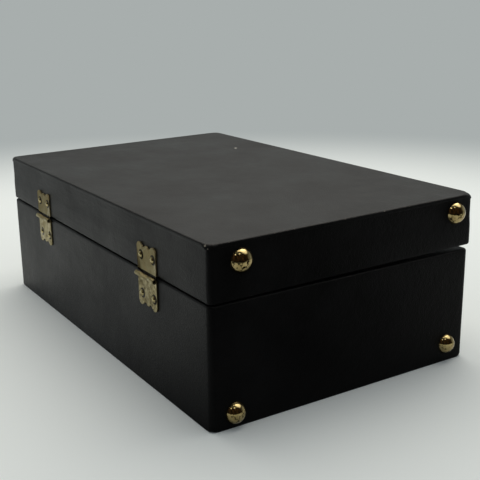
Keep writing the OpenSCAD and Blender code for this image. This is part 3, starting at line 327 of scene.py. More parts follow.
def wrapped(walk, profile, shape=None, rings=None):
    """Carries a profile round a walk. A closed one makes a band. With rings, an open one is filled at both ends, by
    that many rings towards the middle, so it makes a tray or a sheet."""
    points, faces, rows = [], [], []

    def lay(found):
        rows.append(list(range(len(points), len(points) + len(found))))
        points.extend(found)

    def inward(loop, share, up):
        found = [Vector((p.x * share, p.y * share, p.z)) for p in loop]
        return [shape(p, None, 0.0, None, up) for p in found] if shape else found

    loops = []
    for out, up in profile:
        raised = [(p + Vector((0, 0, up)), way, share) for p, way, share in walk(out)]
        loops.append([shape(p, way, share, out, up) if shape else p for p, way, share in raised])
    if rings:
        for k in range(1, rings[0]):
            lay(inward(loops[0], k / rings[0], profile[0][1]))
    for loop in loops:
        lay(loop)
    if rings:
        for k in range(rings[1] - 1, 0, -1):
            lay(inward(loops[-1], k / rings[1], profile[-1][1]))
    count = len(rows[0])
    for row, other in zip(rows, rows[1:] if rings else rows[1:] + rows[:1]):
        faces += [(row[i], row[(i + 1) % count], other[(i + 1) % count], other[i]) for i in range(count)]
    if rings:
        for row in (rows[0], rows[-1]):
            points.append(Vector((0, 0, sum(points[i].z for i in row) / count)))
            faces += [(row[i], row[(i + 1) % count], len(points) - 1) for i in range(count)]
    return points, faces


def hills(point, wave):
    """A smooth unevenness from nought to one, with hills about a wave apart."""
    return 0.5 + 0.5 * noise.noise(point / wave)


black = leatherette("black_leatherette")
base_low, base_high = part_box("base_side_covering")
case_l = base_high.x - base_low.x
case_w = base_high.y - base_low.y
base_h = base_high.z
corner_r = 4.5 * mm
cover_t = 0.9 * mm
board_t = 8 * mm
rim_r = 2 * mm
turn_in = 12 * mm
inner_face = -cover_t - board_t - cover_t
inner_r = 1.2 * mm
base_walk = ring_round(case_l, case_w, corner_r, 10)


def given_way(point, length, width, radius, most):
    """How far a knocked corner of a large face has given way there. The face's outline is rounder than the upright
    corners, so each corner falls off towards its tip, by the most there."""
    past_x = abs(point.x) - (length / 2 - radius)
    past_y = abs(point.y) - (width / 2 - radius)
    if past_x < 0 or past_y < 0:
        return 0.0
    past = max(0.0, (past_x ** 2 + past_y ** 2) ** 0.5 - radius)
    return most * (past / ((2 ** 0.5 - 1) * (radius - corner_r))) ** 2


def base_worn(point):
    """The base's lower corners, which have been set down many times."""
    return given_way(point, case_l, case_w, 9 * mm, 2.4 * mm)


def hand_glued(point, way, corner, out, up):
    """Boards and cloth are never quite flat: the skin sinks a little here and there, and the rim is a hair uneven."""
    sunk = 0.2 * mm * hills(point, 45 * mm) + 0.06 * mm * noise.noise(point / (9 * mm))
    if up < 10 * mm:
        point.z += base_worn(point) * (1 - (up - cover_t) / (10 * mm - cover_t))
    if out > -2 * mm:
        point = point - way * max(0.0, sunk)
    if up > base_h - 3 * mm:
        point.z -= 0.25 * mm * hills(Vector((point.x, point.y, 0)), 30 * mm)
    return point


side_profile = divided(
    [(0, cover_t)] + arc(-rim_r, base_h - rim_r, rim_r, 0, 90)
    + arc(inner_face + inner_r, base_h - inner_r, inner_r, 90, 180)
    + [(inner_face, base_h - turn_in), (-cover_t - board_t, base_h - turn_in),
       (-cover_t - board_t, base_h - cover_t), (-cover_t, base_h - cover_t), (-cover_t, cover_t)], 5 * mm, True)
base_cover = show("base_leatherette", *wrapped(base_walk, side_profile, hand_glued), black, "case_base", "leatherette",
                  wear=2 * mm)
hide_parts("base_side_covering")

back_profile = [(-cover_t, cover_t)] + arc(-0.3 * mm, 0.6 * mm, 0.3 * mm, 90, 0, 3) + arc(-0.8 * mm, 0.8 * mm, 0.8 * mm, 0, -90)


def set_down(point, way, corner, out, up):
    """The back sheet, flat but for its four knocked corners."""
    point.z = up + base_worn(point)
    return point


back_cover = show("back_leatherette", *wrapped(base_walk, back_profile, set_down, (24, 24)), black, "case_base",
                  "leatherette")
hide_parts("base_back_covering")


# Lid covering
# The same leatherette. The side strip is doubled round the lid's lower half, which leaves a soft step,
# and the top sheet laps down over the sides all round and is pleated at the corners.
lid_hinge = next(j for j in frame["joints"] if j["name"] == "lid_hinge")
hinge_at = Vector(lid_hinge["pos_m"])
lid_ajar = radians(0.7)
on_lid = Matrix.Translation(hinge_at) @ Matrix.Rotation(-lid_ajar, 4, "X") @ Matrix.Translation(-hinge_at)
lid_l = case_l + 2 * mm
lid_w = case_w + 1.6 * mm
lid_y = -0.8 * mm
lid_place = on_lid @ Matrix.Translation((0, lid_y, 0))
lid_z = base_h + 0.4 * mm
lid_h = 41 * mm
lid_top = lid_z + lid_h
band_h = 19.5 * mm
band_t = 0.5 * mm
lap_h = 2.8 * mm
fold_r = 1.3 * mm
pleats = 3
pleat_h = 0.3 * mm
lid_walk = ring_round(lid_l, lid_w, corner_r, 18)


def knocked_down(point):
    """How far the lid's upper corners have been dulled. The one at the feet end's latch side is the roundest."""
    return given_way(point, lid_l, lid_w, (17 if point.x < 0 and point.y < 0 else 11) * mm, 2.9 * mm)


def lid_glued(point, way, corner, out, up):
    """As on the base, and the band's upper edge and the lap's lower edge wander a little, as cut by hand."""
    low = Vector((point.x, point.y, 0))
    sunk = 0.2 * mm * hills(point, 45 * mm) + 0.06 * mm * noise.noise(point / (9 * mm))
    if out > -2 * mm:
        point = point - way * max(0.0, sunk)
    if abs(up - lid_z - band_h) < 2 * mm:
        point.z += 0.5 * mm * noise.noise(low / (22 * mm))
    if up < lid_z + 3 * mm:
        point.z += 0.2 * mm * hills(low, 30 * mm)
    if up > lid_top - 2 * mm:
        point.z -= knocked_down(low)
    return point


lid_inner = -cover_t - band_t - board_t - cover_t
lid_profile = divided(
    [(-band_t - cover_t, lid_top - cover_t), (-band_t - cover_t, lid_z + cover_t), (lid_inner + cover_t, lid_z + cover_t),
     (lid_inner + cover_t, lid_z + turn_in), (lid_inner, lid_z + turn_in)]
    + arc(lid_inner + inner_r, lid_z + inner_r, inner_r, 180, 270) + arc(-rim_r, lid_z + rim_r, rim_r, -90, 0)
    + [(0, lid_z + band_h - 5 * mm), (-0.08 * mm, lid_z + band_h - 2.4 * mm), (-0.23 * mm, lid_z + band_h),
       (-0.38 * mm, lid_z + band_h + 2.4 * mm), (-band_t, lid_z + band_h + 5 * mm), (-band_t, lid_top - cover_t)],
    5 * mm, True)
lid_cover = show("lid_leatherette", *wrapped(lid_walk, lid_profile, lid_glued), black, "lid", "leatherette", lid_place,
                 wear=2 * mm)
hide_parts("lid_side_covering")


def lapped(point, way, corner, out, up):
    """The top sheet: slightly hollow between its edges, pleated round the corners, and cut a little unevenly."""
    low = Vector((point.x, point.y, 0))
    if out is None:
        point.z = up - knocked_down(low)
        if up > lid_top - cover_t / 2:
            point.z -= 0.35 * mm * hills(low, 70 * mm) + 0.05 * mm * noise.noise(low / (12 * mm))
        return point
    if up < lid_top - 0.2 * mm and 0 < corner < 1:
        point = point - way * pleat_h * (0.5 - 0.5 * cos(2 * pi * pleats * corner)) * (1 if out > -0.3 * mm else 0.3)
    if up < lid_top - lap_h + 0.5 * mm:
        point.z += 0.45 * mm * noise.noise(low / (18 * mm))
    on_top = min(1.0, (up - lid_top + lap_h) / (lap_h - fold_r))
    point.z -= 0.1 * mm * hills(low, 25 * mm) + knocked_down(low) * (0.45 + 0.55 * on_top)
    return point


# A white fleck near the top's far corner and two rubbed places at its near corner, as in the photograph
chips = [((0.0909, -0.0809, 0.1343), 1.6 * mm, "#E6E2D8"), ((-0.1872, 0.1178, 0.1310), 0.8 * mm, "#7C766A"),
         ((-0.1893, 0.1170, 0.1292), 0.5 * mm, "#7C766A")]
chipped = leatherette("chipped_leatherette", chips)
top_profile = ([(-band_t - 0.05 * mm, lid_top - cover_t), (-band_t - 0.05 * mm, lid_top - lap_h)]
               + arc(-0.25 * mm, lid_top - lap_h + 0.25 * mm, 0.25 * mm, -90, 0, 3)
               + arc(-fold_r, lid_top - fold_r, fold_r, 0, 90, 7)
               + [(-1.9 * mm, lid_top), (-2.5 * mm, lid_top), (-3.2 * mm, lid_top), (-4 * mm, lid_top)])
lid_sheet = show("top_leatherette", *wrapped(lid_walk, top_profile, lapped, (36, 36)), chipped, "lid", "leatherette",
                 lid_place, 60, wear=2 * mm)
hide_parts("lid_top_covering")


# Boards
# Thin birch plywood, cut square and glued and pinned. All of it is behind the covering and the lining, but for what a
# scratch may show: a pale face grain, and layers of 1.3 mm through the thickness.
def plywood(name, through):
    """Sanded birch ply: fine long fibres on the face, and light and dark layers seen on the cut edges."""
    made = bpy.data.materials.new(name)
    made.use_nodes = True
    tree = made.node_tree
    tree.nodes.clear()
    place = add(tree, "ShaderNodeTexCoord").outputs["Object"]
    long_way = add(tree, "ShaderNodeMapping", {"Vector": place, "Scale": (0.06, 1, 1)}).outputs[0]
    fibre = add(tree, "ShaderNodeTexNoise", {"Vector": long_way, "Scale": 1 / (1.2 * mm), "Detail": 3.0}).outputs["Fac"]
    across = add(tree, "ShaderNodeVectorMath", {0: place, 1: through}, operation="DOT_PRODUCT").outputs["Value"]
    layer = add(tree, "ShaderNodeMath", {0: across, 1: pi / (1.3 * mm)}, operation="MULTIPLY").outputs[0]
    layer = add(tree, "ShaderNodeMath", {0: layer}, operation="SINE").outputs[0]
    mark = add(tree, "ShaderNodeMath", {0: layer, 1: 0.3, 2: fibre}, operation="MULTIPLY_ADD").outputs[0]
    wood = add(tree, "ShaderNodeMix", {"Factor": mark, "A": linear("#B98F5B"), "B": linear("#E0C596")}, data_type="RGBA")
    bump = add(tree, "ShaderNodeBump", {"Height": fibre, "Strength": 0.3, "Distance": 0.1 * mm})
    board = add(tree, "ShaderNodeBsdfPrincipled", {"Base Color": wood.outputs["Result"], "Roughness": 0.7,
                                                   "Normal": bump.outputs[0]})
    add(tree, "ShaderNodeOutputMaterial", {"Surface": board.outputs[0]})
    return made


def finish_nodes(material, *names):
    """Gives CAD nodes whose shape is right their real finish."""
    for name in names:
        mesh = frame["nodes"][name].data
        mesh.materials.clear()
        mesh.materials.append(material)


def worn_panel(node, body, place, gives):
    """Stands for a panel whose corners have given way under the covering, which would else be cut through."""
    mesh = frame["nodes"][node].data.copy()
    mesh.name = node + "_worn"
    mesh.transform(place.inverted())
    work = bmesh.new()
    work.from_mesh(mesh)
    bmesh.ops.remove_doubles(work, verts=work.verts, dist=0.002 * mm)
    bmesh.ops.dissolve_limit(work, angle_limit=radians(0.6), verts=work.verts, edges=work.edges)
    for axis in (0, 1):
        half = max(v.co[axis] for v in work.verts)
        for inset in (1.5, 3, 4.5, 6.5, 9, 12, 16):
            for side in (-1, 1):
                way = Vector((0, 0, 0))
                way[axis] = 1
                everything = work.verts[:] + work.edges[:] + work.faces[:]
                bmesh.ops.bisect_plane(work, geom=everything, plane_co=way * side * (half - inset * mm), plane_no=way)
    for v in work.verts:
        v.co.z += gives(v.co)
    work.to_mesh(mesh)
    work.free()
    mesh.transform(place)
    mesh.materials.clear()
    mesh.materials.append(panel_wood)
    made = bpy.data.objects.new(node + "_worn", mesh)
    bpy.context.scene.collection.objects.link(made)
    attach(made, body)
    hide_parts(node)


panel_wood = plywood("plywood_panels", (0, 0, 1))
panel_t = 4 * mm
worn_panel("base_back_panel", "case_base", Matrix(), lambda p: base_worn(p) if p.z < cover_t + panel_t / 2 else 0.0)
worn_panel("lid_top_panel", "lid", lid_place,
           lambda p: -knocked_down(p) if p.z > lid_top - cover_t - panel_t / 2 else 0.0)
finish_nodes(plywood("plywood_sides", (0, 1, 0)), "base_hinge_board", "base_latch_board", "lid_hinge_board", "lid_latch_board")
finish_nodes(plywood("plywood_ends", (1, 0, 0)), "base_feet_board", "base_handle_board", "lid_feet_board", "lid_handle_board")


# Feet
# Four hollow domes pressed from thin brass and brightly polished, each on a nail. They take the weight when the case
# stands on its end, so the crown of each is rubbed, and tarnish has begun in small spots.
def brass(name, bright, dull, stain, roughness, spots, brushed=0.0, soiling_and_shade=()):
    """Brass sheet or rod: a warm metal that goes from bright where it is handled to dull and stained where it isn't.
    The last argument lists the darkened places: a point, its reach, and which axes count for the distance. The
    darkening is a dark brown laid over the metal, partly soiling and partly painted shade."""
    made = bpy.data.materials.new(name)
    made.use_nodes = True
    tree = made.node_tree
    tree.nodes.clear()
    place = add(tree, "ShaderNodeTexCoord").outputs["Object"]
    cloud = add(tree, "ShaderNodeTexNoise", {"Vector": place, "Scale": 1 / (6 * mm), "Detail": 5.0,
                                             "Roughness": 0.7}).outputs["Fac"]
    cloud = add(tree, "ShaderNodeMapRange", {"Value": cloud, "From Min": 0.4, "From Max": 0.6}).outputs[0]
    spot = add(tree, "ShaderNodeTexNoise", {"Vector": place, "Scale": 1 / (2.6 * mm), "Detail": 3.0,
                                            "Roughness": 0.7}).outputs["Fac"]
    spot = add(tree, "ShaderNodeMapRange", {"Value": spot, "From Min": 0.66 - 0.3 * spots, "From Max": 0.8 - 0.3 * spots})
    edge = add(tree, "ShaderNodeNewGeometry").outputs["Pointiness"]
    edge = add(tree, "ShaderNodeMapRange", {"Value": edge, "From Min": 0.5, "From Max": 0.56}).outputs[0]
    metal = add(tree, "ShaderNodeMix", {"Factor": cloud, "A": linear(bright), "B": linear(dull)}, data_type="RGBA")
    metal = add(tree, "ShaderNodeMix", {"Factor": spot.outputs[0], "A": metal.outputs["Result"], "B": linear(stain)},
                data_type="RGBA")
    metal = add(tree, "ShaderNodeMix", {"Factor": edge, "A": metal.outputs["Result"], "B": linear(bright)},
                data_type="RGBA")
    soiling_and_shade_mask = None
    for middle, reach, axes in soiling_and_shade:
        flat = add(tree, "ShaderNodeVectorMath", {0: place, 1: axes}, operation="MULTIPLY").outputs[0]
        away = add(tree, "ShaderNodeVectorMath", {0: flat, 1: middle * Vector(axes)}, operation="DISTANCE")
        found = smooth_share(tree, away.outputs["Value"], reach, reach * 0.8)
        soiling_and_shade_mask = add(tree, "ShaderNodeMath", {0: soiling_and_shade_mask, 1: found}, operation="MAXIMUM").outputs[0] if soiling_and_shade_mask else found
    # Partly soiling, partly painted shade: a dark brown laid over the listed places
    if soiling_and_shade_mask:
        metal = add(tree, "ShaderNodeMix", {"Factor": soiling_and_shade_mask, "A": metal.outputs["Result"], "B": linear("#1E170C")},
                    data_type="RGBA")
    scratch = add(tree, "ShaderNodeMapping", {"Vector": place, "Scale": (0.05, 1, 1)}).outputs[0]
    scratch = add(tree, "ShaderNodeTexNoise", {"Vector": scratch, "Scale": 1 / (0.25 * mm), "Detail": 2.0}).outputs["Fac"]
    bump = add(tree, "ShaderNodeBump", {"Height": cloud, "Strength": 0.15, "Distance": 0.15 * mm}).outputs[0]
    bump = add(tree, "ShaderNodeBump", {"Height": scratch, "Strength": brushed, "Distance": 0.03 * mm, "Normal": bump})
    gloss = add(tree, "ShaderNodeMapRange", {"Value": cloud, "To Min": roughness * 0.8, "To Max": roughness * 1.3}).outputs[0]
    gloss = add(tree, "ShaderNodeMath", {0: spot.outputs[0], 1: 0.25, 2: gloss}, operation="MULTIPLY_ADD").outputs[0]
    sheet = add(tree, "ShaderNodeBsdfPrincipled", {"Base Color": metal.outputs["Result"], "Metallic": 1.0,
                                                   "Roughness": gloss, "Normal": bump.outputs[0]})
    add(tree, "ShaderNodeOutputMaterial", {"Surface": sheet.outputs[0]})
    return made


def softened(node, material, width, body, sharp=30):
    """Stands for a CAD node: the same faces, with their sharp edges rounded over by that width."""
    mesh = frame["nodes"][node].data.copy()
    mesh.name = node + "_softened"
    work = bmesh.new()
    work.from_mesh(mesh)
    bmesh.ops.remove_doubles(work, verts=work.verts, dist=0.002 * mm)
    bmesh.ops.dissolve_limit(work, angle_limit=radians(0.6), verts=work.verts, edges=work.edges)
    work.to_mesh(mesh)
    work.free()
    mesh.materials.clear()
    mesh.materials.append(material)
    made = bpy.data.objects.new(node + "_softened", mesh)
    bpy.context.scene.collection.objects.link(made)
    bevel = made.modifiers.new("rounded_edges", "BEVEL")
    bevel.width = width
    bevel.segments = 2
    bevel.limit_method = "ANGLE"
    bevel.angle_limit = radians(sharp)
    bevel.use_clamp_overlap = True
    flat = bpy.data.meshes.new_from_object(made.evaluated_get(bpy.context.evaluated_depsgraph_get()))
    made.modifiers.clear()
    made.data = flat
    flat.shade_smooth()
    flat.set_sharp_from_angle(angle=radians(sharp))
    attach(made, body)
    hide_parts(node)
    return made


polished_brass = brass("polished_brass", "#A8966A", "#8C7A4E", "#3A2810", 0.0, 0.35)
finish_nodes(polished_brass, "base_feet", "lid_feet")


# Hinges
# Stamped brass leaves with two lobes at each end, rolled round a brass pin. They have never been polished since they
# were nailed on, so they are a dull straw colour. They are browner round the nails, partly soiling and partly painted
# shade set towards the feet end; a painted shadow line lies on the lid's leaf above the barrel, and the pins are
# painted near-black as the shade at the barrel's ends.
def solids_of(node):
    """The middles of a CAD node's separate solids."""
    work = bmesh.new()
    work.from_mesh(frame["nodes"][node].data)
    bmesh.ops.remove_doubles(work, verts=work.verts, dist=0.002 * mm)
    left = set(work.verts)
    middles = []
    while left:
        solid, edge = set(), {left.pop()}
        while edge:
            solid |= edge
            edge = {v for near in edge for link in near.link_edges for v in link.verts} - solid
        left -= solid
        middles.append(sum((v.co for v in solid), Vector()) / len(solid))
    work.free()
    return middles


# Soiling and painted shade round the nails: each dark disc is set off towards the feet end, so a dark crescent shows on
# that side of the head
nail_soiling_and_shade_shift = Vector((-1.3 * mm, 0, 0.2 * mm))
nail_reach = 4.2 * mm
base_nail_soiling_and_shade = [(at + nail_soiling_and_shade_shift, nail_reach, (1, 0, 1)) for at in solids_of("base_nails") if at.y > 0]
lid_soiling_and_shade = [(at + nail_soiling_and_shade_shift, nail_reach, (1, 0, 1)) for at in solids_of("lid_nails") if at.y > 0]
# Painted shadow: a dark line on the lid's leaf just above the barrel
lid_soiling_and_shade.append((hinge_at + Vector((0, -1.5 * mm, 2.4 * mm)), 1.6 * mm, (0, 1, 1)))
aged_brass = brass("aged_brass", "#A99D76", "#80744E", "#4E3E22", 0.46, 0.45, 0.3)
base_hinge_brass = brass("base_hinge_brass", "#A99D76", "#80744E", "#4E3E22", 0.46, 0.45, 0.3, base_nail_soiling_and_shade)
lid_hinge_brass = brass("lid_hinge_brass", "#A99D76", "#80744E", "#4E3E22", 0.46, 0.45, 0.3, lid_soiling_and_shade)
nail_brass = brass("nail_brass", "#B8A97A", "#8A7B4E", "#33260F", 0.16, 0.4)
# Painted shade: the pins are coloured near-black, standing in for the shade in the hinge barrel's recessed ends; the
# hasp pins take the same colour
pin_painted_shade = brass("pin_painted_shade", "#3A3018", "#2A2212", "#15100A", 0.5, 0.6)
softened("base_hinge_leaves", base_hinge_brass, 0.18 * mm, "case_base")
softened("lid_hinge_leaves", lid_hinge_brass, 0.18 * mm, "lid")
finish_nodes(pin_painted_shade, "hinge_pins")
finish_nodes(nail_brass, "base_nails", "lid_nails")


# Latches
# A folded brass housing with a bolt that slides through the hasp's loop, and a pressed hasp that turns on the lid's
# plate. Fingers have kept the hasp and the bolt's thumb piece brighter than the plates.
handled_brass = brass("handled_brass", "#DCCB93", "#BBA768", "#5E4A22", 0.22, 0.2, 0.3)
softened("lock_plates", aged_brass, 0.25 * mm, "case_base")
softened("lower_lock_bolt", handled_brass, 0.15 * mm, "lower_lock_bolt")
softened("upper_lock_bolt", handled_brass, 0.15 * mm, "upper_lock_bolt")
softened("hasp_plates", aged_brass, 0.2 * mm, "lid")
softened("lower_hasp", handled_brass, 0.25 * mm, "lower_hasp")
softened("upper_hasp", handled_brass, 0.25 * mm, "upper_hasp")
finish_nodes(pin_painted_shade, "hasp_pins")


# Handle
# Two brass arms turn on pins in screwed brackets, with a rod between them. A leather sleeve is stretched wet round a
# core on the rod and sewn on its inner side with a butted seam, so it bulges in the middle and draws in at the ends.
softened("handle_brackets", aged_brass, 0.3 * mm, "case_base")
softened("handle_arms", handled_brass, 0.35 * mm, "handle")
finish_nodes(handled_brass, "handle_rod", "handle_pivot_pins", "bracket_screws")


def leather(name, dark, light, grain):
    """Vegetable-tanned leather with a waxed finish: fine creases and pores, a soft shine, and lighter worn edges."""
    made = bpy.data.materials.new(name)
    made.use_nodes = True
    tree = made.node_tree
    tree.nodes.clear()
    place = add(tree, "ShaderNodeTexCoord").outputs["Object"]
    crease = add(tree, "ShaderNodeTexVoronoi", {"Vector": place, "Scale": 1 / grain}, feature="DISTANCE_TO_EDGE")
    crease = add(tree, "ShaderNodeMapRange", {"Value": crease.outputs["Distance"], "From Min": 0.0, "From Max": 0.25})
    pore = add(tree, "ShaderNodeTexNoise", {"Vector": place, "Scale": 1 / (0.5 * mm), "Detail": 3.0}).outputs["Fac"]
    cloud = add(tree, "ShaderNodeTexNoise", {"Vector": place, "Scale": 1 / (16 * mm), "Detail": 4.0}).outputs["Fac"]
    tone = add(tree, "ShaderNodeMapRange", {"Value": cloud, "From Min": 0.35, "From Max": 0.68}).outputs[0]
    hide = add(tree, "ShaderNodeMix", {"Factor": tone, "A": linear(dark), "B": linear(light)}, data_type="RGBA")
    edge = add(tree, "ShaderNodeNewGeometry").outputs["Pointiness"]
    edge = add(tree, "ShaderNodeMapRange", {"Value": edge, "From Min": 0.53, "From Max": 0.6}).outputs[0]
    hide = add(tree, "ShaderNodeMix", {"Factor": edge, "A": hide.outputs["Result"], "B": linear("#4A3F35")},
               data_type="RGBA")
    relief = add(tree, "ShaderNodeMath", {0: crease.outputs[0], 1: pore}, operation="ADD").outputs[0]
    bump = add(tree, "ShaderNodeBump", {"Height": relief, "Strength": 0.35, "Distance": 0.15 * mm})
    gloss = add(tree, "ShaderNodeMapRange", {"Value": cloud, "To Min": 0.34, "To Max": 0.55}).outputs[0]
    skin = add(tree, "ShaderNodeBsdfPrincipled", {"Base Color": hide.outputs["Result"], "Roughness": gloss,
                                                  "Specular IOR Level": 0.35, "Normal": bump.outputs[0]})
    add(tree, "ShaderNodeOutputMaterial", {"Surface": skin.outputs[0]})
    return made


def thread(name, colour):
    """Waxed linen thread, twisted: the twist shows as slanting ridges 0.5 mm apart, and the grooves between them are
    painted near-black as shade.
    """
    made = bpy.data.materials.new(name)
    made.use_nodes = True
    tree = made.node_tree
    tree.nodes.clear()
    place = add(tree, "ShaderNodeTexCoord").outputs["Object"]
    turn = add(tree, "ShaderNodeMapping", {"Vector": place, "Rotation": (0.6, 0.5, 0.7)}).outputs[0]
    ply = add(tree, "ShaderNodeTexWave", {"Vector": turn, "Scale": 0.31 / (0.5 * mm), "Distortion": 1.0}).outputs["Fac"]
    # Painted shade: the colour drops to near-black in the grooves of the twist, on the same waves as the bump
    shade = add(tree, "ShaderNodeMix", {"Factor": ply, "A": linear("#0B0A09"), "B": linear(colour)}, data_type="RGBA")
    bump = add(tree, "ShaderNodeBump", {"Height": ply, "Strength": 0.5, "Distance": 0.1 * mm})
    yarn = add(tree, "ShaderNodeBsdfPrincipled", {"Base Color": shade.outputs["Result"], "Roughness": 0.6,
                                                  "Normal": bump.outputs[0]})
    add(tree, "ShaderNodeOutputMaterial", {"Surface": yarn.outputs[0]})
    return made


stitch_tree = bpy.data.node_groups.new("stitch_row", "GeometryNodeTree")
for label, kind, value in (("Seam", "NodeSocketGeometry", None), ("Pace", "NodeSocketFloat", 3.2 * mm),
                           ("Length", "NodeSocketFloat", 2.3 * mm), ("Radius", "NodeSocketFloat", 0.28 * mm),
                           ("Thread", "NodeSocketMaterial", None)):
    socket = stitch_tree.interface.new_socket(label, in_out="INPUT", socket_type=kind)
    if value:
        socket.default_value = value
stitch_tree.interface.new_socket("Stitches", in_out="OUTPUT", socket_type="NodeSocketGeometry")
given = add(stitch_tree, "NodeGroupInput").outputs
holes = add(stitch_tree, "GeometryNodeResampleCurve", {"Curve": given["Seam"], "Length": given["Pace"]}, mode="LENGTH")
holes = add(stitch_tree, "GeometryNodeCurveToPoints", {"Curve": holes.outputs[0]}, mode="EVALUATED").outputs
half = add(stitch_tree, "ShaderNodeMath", {0: given["Length"], 1: 0.5}, operation="MULTIPLY").outputs[0]
slim = add(stitch_tree, "ShaderNodeCombineXYZ", {"X": given["Radius"], "Y": given["Radius"], "Z": half}).outputs[0]
grain_of_thread = add(stitch_tree, "GeometryNodeMeshUVSphere", {"Segments": 6, "Rings": 4, "Radius": 1.0}).outputs[0]
laid = add(stitch_tree, "GeometryNodeInstanceOnPoints", {"Points": holes["Points"], "Instance": grain_of_thread,
                                                         "Rotation": holes["Rotation"], "Scale": slim}).outputs[0]
laid = add(stitch_tree, "GeometryNodeRealizeInstances", {"Geometry": laid}).outputs[0]
laid = add(stitch_tree, "GeometryNodeSetMaterial", {"Geometry": laid, "Material": given["Thread"]}).outputs[0]
add(stitch_tree, "NodeGroupOutput", {"Stitches": laid})


def stitched(name, seams, yarn, body, pace=3.2 * mm, length=2.3 * mm, radius=0.28 * mm):
    """Sews along each seam, a list of points, and turns the stitches into one plain mesh."""
    curve = bpy.data.curves.new(name, "CURVE")
    curve.dimensions = "3D"
    for seam in seams:
        spline = curve.splines.new("POLY")
        spline.points.add(len(seam) - 1)
        for point, at in zip(spline.points, seam):
            point.co = (*at, 1)
    rig = bpy.data.objects.new(name + "_seam", curve)
    bpy.context.scene.collection.objects.link(rig)
    sewing = rig.modifiers.new("sewing", "NODES")
    sewing.node_group = stitch_tree
    inputs = {item.name: item.identifier for item in stitch_tree.interface.items_tree if item.item_type == "SOCKET"}
    sewing[inputs["Pace"]] = pace
    sewing[inputs["Length"]] = length
    sewing[inputs["Radius"]] = radius
    sewing[inputs["Thread"]] = yarn
    made = bpy.data.objects.new(name, bpy.data.meshes.new_from_object(
        rig.evaluated_get(bpy.context.evaluated_depsgraph_get())))
    bpy.context.scene.collection.objects.link(made)
    bpy.data.objects.remove(rig)
    made.data.shade_smooth()
    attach(made, body)
    return made


saddle_leather = leather("black_saddle_leather", "#100E0C", "#1C1815", 1.6 * mm)
black_thread = thread("black_waxed_thread", "#2E2A26")
grip_low, grip_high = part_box("handle_grip")
grip_at = (grip_low + grip_high) / 2
grip_l = grip_high.y - grip_low.y
grip_r = (grip_high.z - grip_low.z) / 2
rod_r = 1.8 * mm
grip_turns = 56
grip_rings = 64


def grip_radius(share):
    """Fullest in the middle, drawn in at the ends, with a rounded lip where the leather is turned under."""
    body = grip_r - 0.2 * mm - 1.9 * mm * (2 * share - 1) ** 2
    lip = min(share, 1 - share) * grip_l
    return body - 1.3 * mm * max(0.0, 1 - lip / (1.6 * mm)) ** 2 - 0.35 * mm * max(0.0, 1 - abs(lip - 4.5 * mm) / (1 * mm))


grip_points, grip_faces = [], []
for ring in range(grip_rings + 1):
    share = 0.5 - 0.5 * cos(pi * ring / grip_rings)
    for k in range(grip_turns):
        a = 2 * pi * k / grip_turns
        seam = max(0.0, 1 - abs(sin(a / 2)) * 2 * grip_r / (1.1 * mm))
        wave = 0.12 * mm * noise.noise(Vector((cos(a), share * 5, sin(a))) * 1.5)
        r = grip_radius(share) - 0.5 * mm * seam + wave
        grip_points.append(Vector((grip_at.x - r * cos(a), grip_low.y + grip_l * share, grip_at.z + r * sin(a))))
first_bore = len(grip_points)
for y in (grip_high.y, grip_low.y):
    for k in range(grip_turns):
        a = 2 * pi * k / grip_turns
        grip_points.append(Vector((grip_at.x - rod_r * cos(a), y, grip_at.z + rod_r * sin(a))))
for ring in range(grip_rings + 3):
    here, onward = ring * grip_turns, (ring + 1) % (grip_rings + 3) * grip_turns
    grip_faces += [(here + k, here + (k + 1) % grip_turns, onward + (k + 1) % grip_turns, onward + k)
                   for k in range(grip_turns)]
grip = show("grip_leather", grip_points, grip_faces, saddle_leather, "handle", "strap_leather", sharp=50)
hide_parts("handle_grip")


def grip_seam(turn):
    """A row of stitches beside the butted seam, on the side of the grip that lies towards the case."""
    row = []
    for k in range(41):
        share = 0.03 + 0.94 * k / 40
        r = grip_radius(share) + 0.05 * mm
        row.append((grip_at.x - r * cos(turn), grip_low.y + grip_l * share, grip_at.z + r * sin(turn)))
    return row


stitched("grip_stitches", [grip_seam(0.24), grip_seam(-0.24)], black_thread, "handle")


